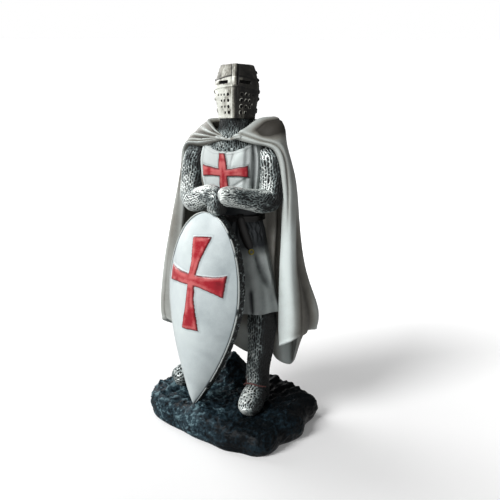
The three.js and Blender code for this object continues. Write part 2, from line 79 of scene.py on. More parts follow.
def along(stations, t):
    """Catmull-Rom values of a list of stations at t, where t runs from 0 to 1 over the whole list."""
    stations = np.asarray(stations, float)
    last = len(stations) - 1
    place = np.clip(t, 0, 1) * last
    low = np.minimum(place.astype(int), last - 1)
    part = (place - low)[..., None]
    a, b, c, d = (stations[np.clip(low + k, 0, last)] for k in (-1, 0, 1, 2))
    return 0.5 * (2 * b + (c - a) * part + (2 * a - 5 * b + 4 * c - d) * part ** 2
                  + (3 * b - a - 3 * c + d) * part ** 3)


def value_noise(points, size, seed):
    """Random numbers on a cubic lattice of this cell size, blended smoothly between the corners of a cell."""
    table = np.random.RandomState(seed).rand(32, 32, 32)
    place = points / size
    cell = np.floor(place).astype(int)
    part = smooth(place - cell)
    total = np.zeros(points.shape[:-1])
    for corner in itertools.product((0, 1), repeat=3):
        weight = np.prod(np.where(corner, part, 1 - part), axis=-1)
        index = (cell + corner) % 32
        total += weight * table[index[..., 0], index[..., 1], index[..., 2]]
    return 2 * total - 1


def rough_noise(points, size, seed, octaves=4):
    """Sum of value noises, each half as large and half as strong as the one before."""
    return sum(value_noise(points, size / 2 ** k, seed + k) / 2 ** k for k in range(octaves))


def cell_edges(points, size, seed):
    """How much further off the second nearest of random seeds is than the nearest: zero on cell walls."""
    shift = np.random.RandomState(seed).rand(16, 16, 16, 3)
    place = points / size
    cell = np.floor(place).astype(int)
    first = np.full(points.shape[:-1], 9.0)
    second = first.copy()
    for step in itertools.product((-1, 0, 1), repeat=3):
        near = cell + step
        index = near % 16
        spot = near + shift[index[..., 0], index[..., 1], index[..., 2]]
        gap = np.linalg.norm(place - spot, axis=-1)
        second = np.minimum(second, np.maximum(first, gap))
        first = np.minimum(first, gap)
    return second - first


def normals(grid, closed):
    """Unit normals of a grid of points: the way across crossed with the way down its rows."""
    if closed:
        across = np.roll(grid, -1, 1) - np.roll(grid, 1, 1)
    else:
        across = np.gradient(grid, axis=1)
    out = np.cross(across, np.gradient(grid, axis=0))
    return out / np.maximum(np.linalg.norm(out, axis=-1, keepdims=True), 1e-9)


def push_out(grid, height):
    """Moves each point of a closed grid along its normal by a height of its own."""
    return grid + normals(grid, True) * height[..., None]


def closer_in_front(count, even):
    """Angles from -pi to pi that lie closer together about 0. With an even of 1 they are evenly spaced."""
    half = np.linspace(-1, 1, count, endpoint=False)
    return math.pi * (even * half + (1 - even) * half ** 3)


# Mesh tools
def make(name, points, quads, fans, coats, material):
    """Makes one closed piece from points in millimetres, with its coats as vertex attributes."""
    a, b, c = (points[quads[:, k]] for k in (0, 1, 2))
    d = points[quads[:, 3]]
    volume = np.sum(a * np.cross(b, c)) + np.sum(a * np.cross(c, d))
    faces = [row[::-1] if volume < 0 else row for row in (quads.tolist() + fans.tolist())]
    mesh = bpy.data.meshes.new(name)
    mesh.from_pydata((points * 0.001).tolist(), [], faces)
    for coat, values in coats.items():
        mesh.attributes.new(coat, "FLOAT", "POINT").data.foreach_set("value", values.astype(np.float32))
    mesh.polygons.foreach_set("use_smooth", np.ones(len(mesh.polygons), bool))
    mesh.materials.append(material)
    mesh.update()
    piece = bpy.data.objects.new(name, mesh)
    bpy.context.scene.collection.objects.link(piece)
    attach(piece, "root")
    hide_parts(NODE)


def net(first, rows, columns, closed):
    """Quads of a grid whose points are numbered row by row from first."""
    span = np.arange(columns if closed else columns - 1)
    i, j = np.meshgrid(np.arange(rows - 1), span, indexing="ij")
    k = (j + 1) % columns
    corners = [i * columns + j, i * columns + k, (i + 1) * columns + k, (i + 1) * columns + j]
    return first + np.stack([corner.ravel() for corner in corners], axis=1)


def tube(name, grid, coats, material):
    """A closed piece through rings of points, with a pole in the middle of each end."""
    rows, columns = grid.shape[:2]
    poles = np.stack([grid[0].mean(0), grid[-1].mean(0)])
    points = np.concatenate([grid.reshape(-1, 3), poles])
    around = np.arange(columns)
    beside = (around + 1) % columns
    top = (rows - 1) * columns
    first = np.stack([beside, around, np.full(columns, len(points) - 2)], axis=1)
    last = np.stack([top + around, top + beside, np.full(columns, len(points) - 1)], axis=1)
    filled = {key: np.concatenate([value.ravel(), [value[0].mean(), value[-1].mean()]])
              for key, value in coats.items()}
    fans = np.concatenate([first, last])
    make(name, points, net(0, rows, columns, True), fans, filled, material)


def loop(name, grid, coats, material):
    """A closed ring-shaped piece: rows of points round its section, and the rows close on themselves."""
    rows, columns = grid.shape[:2]
    closing = np.concatenate([grid, grid[:1]])
    quads = net(0, rows + 1, columns, True) % (rows * columns)
    points = closing[:-1].reshape(-1, 3)
    filled = {key: value.ravel() for key, value in coats.items()}
    make(name, points, quads, np.zeros((0, 3), int), filled, material)


def pillow(name, front, back, coats, back_coats, material):
    """A closed piece between a front and a back grid that share their border."""
    rows, columns = front.shape[:2]
    index = np.arange(rows * columns).reshape(rows, columns)
    inner = (rows - 2) * (columns - 2)
    behind = index.copy()
    behind[1:-1, 1:-1] = rows * columns + np.arange(inner).reshape(rows - 2, columns - 2)
    quads = net(0, rows, columns, False)
    other = behind.ravel()[quads][:, ::-1]
    points = np.concatenate([front.reshape(-1, 3), back[1:-1, 1:-1].reshape(-1, 3)])
    filled = {key: np.concatenate([value.ravel(), back_coats[key][1:-1, 1:-1].ravel()])
              for key, value in coats.items()}
    make(name, points, np.concatenate([quads, other]), np.zeros((0, 3), int), filled, material)


# Paints
def linear(code):
    """An sRGB hex colour as linear values with full alpha."""
    parts = [int(code[k:k + 2], 16) / 255 for k in (1, 3, 5)]
    return [p / 12.92 if p < 0.04045 else ((p + 0.055) / 1.055) ** 2.4 for p in parts] + [1.0]


def wire(tree, node, inputs):
    """Links sockets to a node's inputs and fills the others with plain values."""
    for key, value in inputs.items():
        if isinstance(value, bpy.types.NodeSocket):
            tree.links.new(value, node.inputs[key])
        else:
            node.inputs[key].default_value = value


def add(tree, kind, inputs, out=0, stops=(), **settings):
    """Adds a shader node with its settings and its colour stops, wires its inputs and gives one output."""
    node = tree.nodes.new("ShaderNode" + kind)
    for key, value in settings.items():
        setattr(node, key, value)
    wire(tree, node, inputs)
    for _ in stops[2:]:
        node.color_ramp.elements.new(0.5)
    for number, (place, code) in enumerate(stops):
        node.color_ramp.elements[number].position = place
        node.color_ramp.elements[number].color = linear(code)
    return node.outputs[out]


def new_material(name):
    """A material, its tree, its shader and the Object coordinates that its patterns read."""
    material = bpy.data.materials.new(name)
    material.use_nodes = True
    tree = material.node_tree
    return material, tree, tree.nodes["Principled BSDF"], add(tree, "TexCoord", {}, "Object")


def mottled(tree, place, value, layers):
    """Adds noises to a value, each given as its size in millimetres and how far it swings either way."""
    for size, swing in layers:
        noise = add(tree, "TexNoise", {"Vector": place, "Scale": 1000 / size, "Detail": 4, "Roughness": 0.6})
        part = add(tree, "MapRange", {"Value": noise, "From Min": 0.3, "From Max": 0.7, "To Min": -swing,
                                      "To Max": swing})
        value = add(tree, "Math", {0: value, 1: part}, operation="ADD")
    return value


def silver_over_black(name, black_below, silver_above, layers, shades, shine=0.45, stretch=(1, 1, 1)):
    """Silver acrylic paint brushed over black on cast resin.

    Paint flakes of aluminium make the raised strands and edges shine. The black in the hollows stays dull.
    """
    material, tree, shader, place = new_material(name)
    place = add(tree, "Mapping", {"Vector": place, "Scale": stretch})
    level = mottled(tree, place, add(tree, "Attribute", {}, "Fac", attribute_name="relief"), layers)
    step = (silver_above - black_below) / 3
    colour = add(tree, "ValToRGB", {"Fac": level}, stops=[(black_below + k * step, code)
                                                          for k, code in enumerate(shades)])
    metal = add(tree, "MapRange", {"Value": level, "From Min": black_below,
                                   "From Max": black_below + 2 * step, "To Min": 0.0, "To Max": shine})
    dull = add(tree, "MapRange", {"Value": level, "From Min": black_below, "From Max": silver_above,
                                  "To Min": 0.65, "To Max": 0.4})
    grain = add(tree, "TexNoise", {"Vector": place, "Scale": 1000 / 0.4, "Detail": 3})
    bump = add(tree, "Bump", {"Height": grain, "Strength": 0.25, "Distance": 0.00012})
    wire(tree, shader, {"Base Color": colour, "Metallic": metal, "Roughness": dull, "Normal": bump})
    return material


# Dry-brushed mail: flecks under a millimetre, where the bristles skipped, and patches a finger wide
COOL = ["#050707", "#262d2e", "#7f8989", "#dfe5e2"]
MAIL = silver_over_black("silver acrylic dry-brushed on cast mail", 0.3, 0.86, [(0.9, 0.1), (9, 0.06)], COOL)
# Helmet plates brushed from top to bottom, so that the streaks are longer than they are wide
WARM = ["#060605", "#2f2d29", "#8c8a80", "#eceee4"]
HELMET = silver_over_black("silver acrylic brushed on cast plates", 0.05, 0.8, [(2.6, 0.07), (0.9, 0.07)],
                           WARM, 0.15, (1, 1, 0.4))
# The shield's rim carries little silver, so that most of it stays black
RIM = silver_over_black("worn silver on the shield's black rim", 0.34, 0.95, [(0.8, 0.2), (9, 0.06)], COOL)


def acrylic_on_cloth(name, light, shade, deep, rough):
    """Matt acrylic on cast resin cloth, with a grey-brown wash that settled in the folds.

    It looks chalky on the ridges and darker in the folds, where a wash and painted shade lie. Its red cross
    is a glossier hand-brushed coat, darker towards its edge, and a painted sheen lightens it to pink.
    """
    material, tree, shader, place = new_material(name)
    raised = add(tree, "Attribute", {}, "Fac", attribute_name="relief")
    level = mottled(tree, place, raised, [(8, 0.05), (0.7, 0.02)])
    white = add(tree, "ValToRGB", {"Fac": level}, stops=[(0.05, deep), (0.38, shade), (0.7, light),
                                                         (1.0, "#e2ecea")])
    outline = mottled(tree, place, add(tree, "Attribute", {}, "Fac", attribute_name="cross"), [(1.4, 0.09)])
    cover = add(tree, "MapRange", {"Value": outline, "From Min": -0.12, "From Max": 0.12, "To Min": 1.0,
                                   "To Max": 0.0})
    border = add(tree, "MapRange", {"Value": outline, "From Min": -0.95, "From Max": -0.1})
    coats = mottled(tree, place, raised, [(6, 0.12), (0.9, 0.06)])
    # The pink at the top of the red ramp is a painted sheen, reached where the cross's arms are raised in
    # level
    red = add(tree, "ValToRGB", {"Fac": coats}, stops=[(0.3, "#701520"), (0.68, "#a8242f"), (1.0, "#cf6a6a")])
    red = add(tree, "Mix", {0: border, 6: red, 7: linear("#4a0c13")}, 2, data_type="RGBA")
    colour = add(tree, "Mix", {0: cover, 6: white, 7: red}, 2, data_type="RGBA")
    gloss = add(tree, "MapRange", {"Value": cover, "To Min": rough, "To Max": rough - 0.14})
    grain = mottled(tree, place, 0.5, [(0.7, 0.3), (5, 0.3)])
    bump = add(tree, "Bump", {"Height": grain, "Strength": 0.25, "Distance": 0.00018})
    wire(tree, shader, {"Base Color": colour, "Roughness": gloss, "Specular IOR Level": 0.4, "Normal": bump})
    return material


CLOAK = acrylic_on_cloth("off-white acrylic on the cast cloak", "#b9beba", "#84827b", "#3b3833", 0.55)
SURCOAT = acrylic_on_cloth("white acrylic on the cast surcoat", "#cdd4d3", "#858b8a", "#303437", 0.5)
SHIELD = acrylic_on_cloth("satin white acrylic on the cast shield", "#cfd9da", "#98a3a7", "#474d51", 0.4)


def slate_on_rock():
    """Black-painted rough resin, dry-brushed in slate blue, which only the sharpest ridges caught.

    It looks near black and dull. Thin blue-grey lines run along two nets of cells, one a few millimetres
    wide and one finer, both bent by a swirl, and they break off where the surface lies low and where
    painted shade lowers the coat.
    """
    material, tree, shader, place = new_material("slate blue dry-brushed on black cast rock")
    raised = add(tree, "Attribute", {}, "Fac", attribute_name="relief")
    level = mottled(tree, place, raised, [(1.1, 0.14), (16, 0.1)])
    # The nets are bent by up to 2.5 mm each way
    swirl = add(tree, "TexNoise", {"Vector": place, "Scale": 1000 / 6, "Detail": 3}, "Color")
    bent = add(tree, "VectorMath", {0: swirl, 1: (0.005, 0.005, 0.005), 2: place}, operation="MULTIPLY_ADD")
    for size, strength in ((5.5, 0.55), (1.7, 0.25)):
        net = add(tree, "TexVoronoi", {"Vector": bent, "Scale": 1000 / size}, "Distance",
                  feature="DISTANCE_TO_EDGE")
        line = add(tree, "MapRange", {"Value": net, "From Max": 0.17, "To Min": strength, "To Max": 0.0})
        line = add(tree, "Math", {0: line, 1: raised}, operation="MULTIPLY")
        level = add(tree, "Math", {0: level, 1: line}, operation="ADD")
    slates = [(0.25, "#060a0d"), (0.48, "#18262e"), (0.8, "#33454d"), (1.0, "#5f777e")]
    colour = add(tree, "ValToRGB", {"Fac": level}, stops=slates)
    dull = add(tree, "MapRange", {"Value": level, "From Min": 0.2, "From Max": 0.9, "To Min": 0.42,
                                  "To Max": 0.7})
    grit = mottled(tree, place, 0.5, [(1.1, 0.4)])
    bump = add(tree, "Bump", {"Height": grit, "Strength": 0.45, "Distance": 0.0003})
    wire(tree, shader, {"Base Color": colour, "Roughness": dull, "Specular IOR Level": 0.12, "Normal": bump})
    return material


ROCK = slate_on_rock()


def acrylic_coat(name, light, dark, rough, metal=0.0):
    """One brushed coat of acrylic on cast resin: its colour on the ridges, a darker wash in the hollows."""
    material, tree, shader, place = new_material(name)
    level = mottled(tree, place, add(tree, "Attribute", {}, "Fac", attribute_name="relief"), [(1.3, 0.2)])
    colour = add(tree, "ValToRGB", {"Fac": level}, stops=[(0.2, dark), (0.8, light)])
    grain = add(tree, "TexNoise", {"Vector": place, "Scale": 1000 / 0.55, "Detail": 3})
    bump = add(tree, "Bump", {"Height": grain, "Strength": 0.3, "Distance": 0.00015})
    wire(tree, shader, {"Base Color": colour, "Roughness": rough, "Metallic": metal, "Normal": bump})
    return material


# Satin paint on small trim, that shines more than the cloth around it
LEATHER = acrylic_coat("dark brown acrylic on the cast belt", "#141110", "#060505", 0.42)
STRAP = acrylic_coat("red-brown acrylic on the cast foot strap", "#6f4642", "#241010", 0.48)
GOLD = acrylic_coat("gold acrylic on the cast ring", "#a89a45", "#4a4318", 0.35, 0.6)

# A distance well outside any red cross, in millimetres
NO_CROSS = 30.0


def plain_cloth(relief):
    """The coats of a cloth surface that bears no cross."""
    return {"relief": relief, "cross": np.full(relief.shape, NO_CROSS)}


# Rock
ROCK_SIZE = np.array([97.0, 80.0])
ROCK_HEIGHT = 16.0
ROCK_CORNERS = np.array([
    [-43, -16], [-31, -22.8], [-19, -27.5], [-8, -32.5], [4, -36], [15, -40], [25, -39.5], [34, -40],
    [39.5, -35], [41, -27], [40.5, -21.5], [44.5, -14], [47, -5], [44.3, 3], [43.5, 13], [44, 22], [41, 27.5],
    [35.5, 31], [30, 34], [20, 36.5], [8, 38.5], [-6, 40], [-20, 39], [-32, 35], [-42, 26.5], [-47.5, 15],
    [-50, 3], [-49.5, -8]], float)
# Boulders: middle across and back, how wide and how high
BOULDERS = [(-9.4, 25, 9.5, 16.5), (14, 31, 6, 4), (-38, -2, 10, 3.5), (-30, 14, 10, 4), (27, 24, 10, 2.5),
            (30, -28, 14, -3), (-9, -20, 9, 2)]


def rock_top(x, y):
    """Height of the rock's top: a level, the rises of its boulders and a slow ripple."""
    rise = sum(high * np.exp(-((x - bx) ** 2 + (y - by) ** 2) / wide ** 2) for bx, by, wide, high in BOULDERS)
    ripple = 0.7 * np.sin(x * 0.45 + y * 0.2) * np.cos(y * 0.5 - x * 0.13) + 0.4 * np.sin(x * 0.9 - y * 0.7)
    return ROCK_HEIGHT - 1 + rise + ripple


def rock():
    """The rock: a wall that swells and leans in, met by the height of its top, then roughened outwards.

    A ring is the outline times a share: the wall's profile first, then even steps in to the middle. The
    roughness is the sum of lumps, folded noise along the lie of the stone, two webs of cell walls and grit.
    """
    columns, wall_rows, top_rows = 360, 44, 84
    ring = np.concatenate([ROCK_CORNERS[-2:], ROCK_CORNERS, ROCK_CORNERS[:2]])
    turn = np.arange(columns) / columns
    outline = along(ring, (2 + turn * len(ROCK_CORNERS)) / (len(ring) - 1))
    low, high = outline.min(0), outline.max(0)
    outline = ((outline - low) / (high - low) - 0.5) * ROCK_SIZE
    wall = [[0.95, 0, 0], [0.985, 0.14, 0], [1, 0.36, 0], [0.985, 0.6, 0.01], [0.93, 0.86, 0.045],
            [0.82, 1.12, 0.09]]
    rows = along(wall, np.linspace(0, 1, wall_rows))
    inward = np.linspace(1, 0.015, top_rows)[1:]
    share = np.concatenate([rows[:, 0], 0.82 * inward])[:, None]
    fuller = np.concatenate([rows[:, 2], 0.09 * inward])[:, None]
    share = share + fuller * smooth((-outline[:, 0] / ROCK_SIZE[0] - 0.2) / 0.2)
    lift = np.concatenate([rows[:, 1], np.full(top_rows - 1, 9.0)])[:, None] * (ROCK_HEIGHT - 1)
    x, y = outline[:, 0] * share, outline[:, 1] * share
    top = rock_top(x, y)
    gap = lift - top
    z = np.where(gap < -4, lift, np.where(gap > 4, top, top + gap - (gap + 4) ** 2 / 16))
    grid = np.stack([x, y, np.minimum(z, top)], axis=-1)
    lumps = rough_noise(grid, 11, 3, 3)
    lean = grid @ np.array([[1, 0.25, -0.35], [-0.1, 0.45, 0.1], [0.35, -0.1, 0.6]])
    folded = sum((1 - np.abs(value_noise(lean, 6 / 1.9 ** k, 11 + k))) ** 8 / 1.25 ** k for k in range(4))
    web = cell_edges(grid + 2.2 * np.stack([value_noise(grid, 6, k) for k in (7, 8, 9)], -1), 5.2, 5)
    pits = cell_edges(grid + 1.0 * np.stack([value_noise(grid, 3, k) for k in (17, 18, 19)], -1), 2.3, 15)
    veins = 1 - smooth(web / 0.22)
    fine = 1 - smooth(pits / 0.36)
    grit = rough_noise(grid, 1.6, 23, 3)
    bottom = smooth(grid[..., 2] / 2.5)
    height = (0.75 * lumps + 0.4 * folded + 0.12 * veins + 0.12 * fine + 0.14 * grit - 0.78) * bottom
    grid = push_out(grid, height)
    reach = ROCK_SIZE / 2
    grid[..., 0] = np.clip(grid[..., 0], -reach[0], reach[0])
    grid[..., 1] = np.clip(grid[..., 1], -reach[1], reach[1])
    grid[..., 2] = np.where(lift == 0, 0, np.maximum(grid[..., 2], 0))
    # Painted light and shade: the coat is higher towards -X and the front, lower towards +X and the back
    lit = 1.25 - 0.8 * smooth((grid[..., 0] + 14) / 38) - 0.25 * smooth((grid[..., 1] + 5) / 25)
    relief = (0.2 + 0.2 * folded + 0.12 * veins + 0.12 * fine + 0.16 * lumps + 0.14 * grit) * lit
    tube("rock_base", grid, {"relief": relief}, ROCK)


rock()


# Mail
def mail(a, b, slit=(0.31, 0.4)):
    """Height of cast mail from 0 to 1: upright slits between wavy strands.

    Slits sit one to a unit cell, each second column half a unit lower, and each has a size, a place and a
    depth of its own. The height is 1 less the deepest slit at a place, and a slit's depth falls off as a bell
    from its middle.
    """
    table = np.random.RandomState(1).rand(64, 64, 4)
    deepest = np.zeros(np.broadcast(a, b).shape)
    column = np.floor(a).astype(int)
    for step in (-1, 0, 1):
        side = column + step
        shift = 0.5 * np.mod(side, 2)
        row = np.floor(b - shift).astype(int)
        for up in (-1, 0, 1):
            own = table[side % 64, (row + up) % 64]
            size = 0.65 + 0.55 * own[..., 2]
            da = (a - side - 0.42 - 0.16 * own[..., 0]) / (slit[0] * size)
            db = (b - row - up - shift - 0.38 - 0.24 * own[..., 1]) / (slit[1] * size)
            deepest = np.maximum(deepest, np.exp(-da ** 2 - db ** 4) * (0.6 + 0.4 * own[..., 3]))
    return 1 - deepest


def limb_grid(stations, rows, columns):
    """Rings of points along a limb, evenly spaced along its path, and the length run at each ring."""
    stations = np.array(stations, float)
    fine = np.linspace(0, 1, 400)
    path = along(stations, fine)[:, :3]
    run = np.concatenate([[0], np.cumsum(np.linalg.norm(np.diff(path, axis=0), axis=1))])
    t = np.interp(np.linspace(0, run[-1], rows), run, fine)
    values = along(stations, t)
    heading = np.gradient(values[:, :3], axis=0)
    heading /= np.linalg.norm(heading, axis=1, keepdims=True)
    side = np.cross(heading, (0.3, -1, 0.35))
    side /= np.linalg.norm(side, axis=1, keepdims=True)
    up = np.cross(side, heading)
    angle = math.pi / 2 + closer_in_front(columns, 0.62)
    grid = (values[:, None, :3] + side[:, None] * (np.cos(angle) * values[:, None, 3])[..., None]
            + up[:, None] * (np.sin(angle) * values[:, None, 4])[..., None])
    return grid + SOLES, angle, np.linspace(0, run[-1], rows)


def mail_limb(name, stations, rows, columns, pitch, depth, slit, curl, silver, patchy):
    """A limb in mail: its surface moves out by the mail's height at each place round it and along it.

    The slits wander everywhere, curl more past the middle and fade out at the very end. Silver lies
    unevenly on the strands, at levels given in even steps along the limb, and painted shade darkens its +X
    side.
    """
    grid, angle, run = limb_grid(stations, rows, columns)
    mean = np.mean(np.array(stations)[:, 3:])
    count = 2 * round(TAU * mean / pitch[0] / 2)
    wild = (curl[0] + (curl[1] - curl[0]) * smooth((run / run[-1] - 0.4) / 0.2))[:, None]
    a = angle / TAU * count + 0.5 * value_noise(grid, 4.5, 31) + wild * value_noise(grid, 1.9, 32)
    b = (run / pitch[1])[:, None] + 0.4 * value_noise(grid, 4, 33) + 0.8 * wild * value_noise(grid, 1.7, 34)
    strands = mail(a, b, slit)
    strands = strands + (0.7 - strands) * smooth((run / run[-1] - 0.96) / 0.03)[:, None]
    height = depth * (strands - 0.75) + 0.3 * value_noise(grid, 6, 35)
    out = -normals(grid, True)
    grid = grid + out * height[..., None]
    level = np.interp(run / run[-1], np.linspace(0, 1, len(silver)), silver)
    silver_and_shade = level[:, None] + patchy * (rough_noise(grid, 7, 37, 3) + value_noise(grid, 1.0, 38))
    # Painted shade: the strands darken on the side that faces +X
    silver_and_shade = silver_and_shade - 0.45 * smooth((out[..., 0] - 0.1) / 0.8)
    relief = smooth((strands - 0.2) / 0.5) * silver_and_shade
    tube(name, grid, {"relief": relief}, MAIL)


RIGHT_ARM = [
    [-20, 2, 140, 6.5, 6.5], [-24, 0.5, 133, 7.8, 7.8], [-25.8, -0.5, 123, 7.2, 7.2],
    [-25.6, -3.5, 113.4, 6.5, 6.4], [-19.4, -9.8, 112.6, 6.3, 6.1], [-11.7, -16, 115.7, 5.9, 5.8],
    [-5.2, -21, 118.2, 5.4, 5.2], [-0.8, -24, 117.4, 5, 4.6], [0.4, -25.2, 114.2, 4.9, 4],
    [0.8, -25.5, 111.2, 4.9, 3.5], [0.8, -25.3, 109.2, 3.4, 2]]
LEFT_ARM = [
    [16.5, 2, 140, 6.5, 6.5], [20, 1, 134, 7.8, 7.8], [21.4, -0.5, 124, 7.4, 7.4],
    [21.5, -3.4, 116.4, 6.8, 6.8], [18.9, -8, 114.5, 6.2, 6.1], [14.9, -13, 115.6, 5.6, 5.5],
    [10.6, -17, 117, 5.4, 5.3], [7.2, -20.4, 118, 5.3, 5], [4.6, -23, 118.2, 5, 4.5],
    [2.6, -24.4, 118.2, 4.4, 3.8], [1.2, -24.8, 118, 2.8, 2.2]]
LEFT_LEG = [
    [14.8, 0.5, 55, 7, 7], [16.2, -2.2, 46, 8, 8], [16, -3.2, 34, 7.2, 7.2], [14.6, -3, 24, 6.6, 6.8],
    [13.4, -2, 14, 6.2, 6.4], [12.8, -0.5, 6, 6.3, 6.6], [12.6, 0, 0, 6, 6]]
RIGHT_LEG = [
    [-14.5, 1, 56, 7.6, 7.6], [-17.5, 1.5, 46, 8, 8], [-21.5, 2.5, 34, 7, 7], [-25, 4, 24, 6.5, 6.7],
    [-27.5, 5.5, 15, 6.1, 6.3], [-28.5, 6.5, 8, 6.2, 6.4], [-28.8, 7, 4, 6, 6]]
LEFT_FOOT = [
    [11, 5.5, 3, 3.5, 3], [11.6, 3, 3.4, 5.6, 5.2], [12.6, -4, 4, 6.7, 6], [13.9, -11, 2.6, 6.9, 5.2],
    [15.1, -16.8, 0.8, 6, 4.2], [15.8, -20, -0.6, 3.4, 2.2]]
RIGHT_FOOT = [
    [-23.5, 9.5, 7, 3.5, 3], [-25.5, 8, 7.4, 5.6, 5.2], [-30.5, 4, 8, 6.6, 6], [-34.5, 0.5, 6.4, 6.6, 5],
    [-37.5, -2.2, 4.4, 5.6, 4], [-39.2, -3.8, 3.2, 3.2, 2]]
# Slits of the mail: how far apart across and along a limb, in millimetres
LIMB_PITCH = (1.2, 2.4)
FOOT_PITCH = (1.3, 1.9)
# Slits of the mail: how wide and how long, as shares of the pitch
ARM_SLIT = (0.3, 0.44)
LEG_SLIT = (0.38, 0.45)
SMALL_SLIT = (0.36, 0.42)
# The silver levels along each limb carry painted light and shade as well as silver, such as the painted
# shadow of the cloak's edge at the top of the right arm
mail_limb("right_arm", RIGHT_ARM, 280, 176, LIMB_PITCH, 0.6, ARM_SLIT, (0.2, 0.6),
          (0.42, 0.82, 0.82, 0.84, 0.9, 0.78, 0.68), 0.15)
mail_limb("left_arm", LEFT_ARM, 280, 176, LIMB_PITCH, 0.6, ARM_SLIT, (0.2, 0.6),
          (0.74, 0.82, 0.8, 0.9, 1.02, 1.04, 1.04), 0.14)
mail_limb("left_leg", LEFT_LEG, 220, 160, LIMB_PITCH, 0.6, LEG_SLIT, (0.3, 0.3), (0.62, 0.7, 0.88), 0.12)
mail_limb("right_leg", RIGHT_LEG, 100, 80, LIMB_PITCH, 0.5, SMALL_SLIT, (0.2, 0.2), (0.6, 0.6), 0.1)
mail_limb("left_foot", LEFT_FOOT, 120, 125, FOOT_PITCH, 0.55, SMALL_SLIT, (0.4, 0.4), (0.84, 0.9), 0.14)
mail_limb("right_foot", RIGHT_FOOT, 80, 90, FOOT_PITCH, 0.5, SMALL_SLIT, (0.2, 0.2), (0.7, 0.7), 0.12)


def section_grid(stations, z, angle, push=None):
    """Rings of a body at heights z.

    A station is a height, its middle in x and y, its half width and half depth, and how square it is. A push
    gives the length that a point moves further out, from its angle and height.
    """
    heights = [station[0] for station in stations]
    z = np.asarray(z, float)
    z = z[:, None] if z.ndim == 1 else z
    values = along(stations, np.interp(z, heights, np.linspace(0, 1, len(heights))))
    x, y, wide, deep, square = (values[..., k] for k in range(1, 6))
    reach = (np.abs(np.cos(angle)) ** square + np.abs(np.sin(angle)) ** square) ** (-1 / square)
    out = 0 if push is None else push(angle, z)
    grid = np.stack([x + np.cos(angle) * (wide * reach + out), y + np.sin(angle) * (deep * reach + out),
                     z + 0 * reach], axis=-1)
    return grid + SOLES


COIF = [
    [135, -1, 0, 15.8, 11.6, 2.3], [141, -0.8, 0, 15, 11.3, 2.2], [145, -0.5, 0.2, 12.6, 10.9, 2.1],
    [149, -0.4, 0.4, 10, 10, 2], [153, -0.5, 0.6, 9, 9.2, 2], [156, -0.4, 0.6, 8.4, 8.6, 2],
    [158, -0.4, 0.6, 7.6, 7.8, 2]]


def coif():
    """Mail over the top of the chest and round the neck: rings of a body, moved out by the mail's height."""
    angle = -math.pi / 2 + closer_in_front(240, 0.45)
    grid = section_grid(COIF, np.linspace(135, 158, 100), angle)
    z = grid[..., 2] - SOLES[2]
    a = angle / TAU * 66 + 0.4 * value_noise(grid, 4, 41) + 0.2 * value_noise(grid, 1.8, 42)
    b = z / 2.5 + 0.4 * value_noise(grid, 4, 43)
    strands = mail(a, b, ARM_SLIT)
    grid = push_out(grid, 0.6 * (strands - 0.7))
    # Painted shade: the mail darkens towards the top of the neck, under the helmet
    silver_and_shade = 0.68 + 0.15 * rough_noise(grid, 6, 45, 3) - 0.22 * smooth((z - 148) / 6)
    relief = smooth((strands - 0.2) / 0.5) * silver_and_shade
    tube("mail_coif", grid, {"relief": relief}, MAIL)


coif()


# Surcoat
SURCOAT_STATIONS = [
    [53, -0.6, 0, 25.4, 15, 2.2], [62, -1, 0, 23.6, 14.8, 2.2], [76, -0.8, 0, 21, 13.8, 2.2],
    [90, -0.5, 0, 17.5, 12.6, 2.2], [101, -0.5, 0, 15, 11, 2.2], [109, -0.5, 0, 15, 11, 2.2],
    [121, -0.8, -0.3, 17, 12.4, 2.3], [131, -1, -0.4, 18.4, 13, 2.4], [137, -1, -0.2, 18.2, 12.7, 2.4],
    [141, -1, 0, 17.4, 12.3, 2.3], [148, -1, 0.3, 15.6, 11.6, 2.2]]


def surcoat_fold(angle, height):
    """Folds of the skirt, that grow from the belt down to the hem."""
    fall = np.clip((101 - height) / 50, 0, 1)
    return fall * (0.75 * np.cos(9 * angle + 0.6) + 0.45 * np.cos(5 * angle - height * 0.03))


def arms_of_cross(x, z, middle, arms, power):
    """Signed distance to a cross of flared arms, below zero inside it.

    An arm is the place of its end, its half width there and in the middle of the cross, and how far its end
    leans. Its half width grows from the middle to the end by a power of the way run.
    """
    best = np.full(np.broadcast(x, z).shape, np.inf)
    for ex, ez, wide, narrow, lean in arms:
        way = np.array([ex - middle[0], ez - middle[1]], float)
        length = np.linalg.norm(way)
        way /= length
        run = ((x - middle[0]) * way[0] + (z - middle[1]) * way[1]) / length
        off = (z - middle[1]) * way[0] - (x - middle[0]) * way[1]
        half = narrow + (wide - narrow) * np.clip(run, 0, 1) ** power
        end = np.maximum((run - 1) * length - lean * off, (-run - 0.15) * length)
        gap = np.maximum(np.abs(off) - half, end)
        best = np.minimum(best, gap)
    return best


def raised_cross(cross, high, groove):
    """Height of a cast cross: a groove round it, a steep edge and a soft crown."""
    inside = np.maximum(-cross, 0)
    crown = 0.65 * smooth((0.3 - cross) / 0.6) + 0.5 * (1 - np.exp(-inside / 0.9))
    return high * crown - groove * bell(cross, 0.75, 0.4)


def ridge(x, z, start, end, width):
    """A soft ridge along a straight line between two places, that fades at both of its ends."""
    way = np.subtract(end, start).astype(float)
    length = np.linalg.norm(way)
    way /= length
    run = ((x - start[0]) * way[0] + (z - start[1]) * way[1]) / length
    off = (z - start[1]) * way[0] - (x - start[0]) * way[1]
    return np.exp(-(off / width) ** 2) * smooth(run / 0.25) * smooth((1 - run) / 0.25)


def neckline(x):
    """Height of the surcoat's top edge: low and nearly level over the chest, then up over both shoulders."""
    return 139 + 3.9 * np.abs((x + 2.2) / 14.7) ** 2.3 + 6 * smooth((np.abs(x + 0.7) - 14) / 1.6)


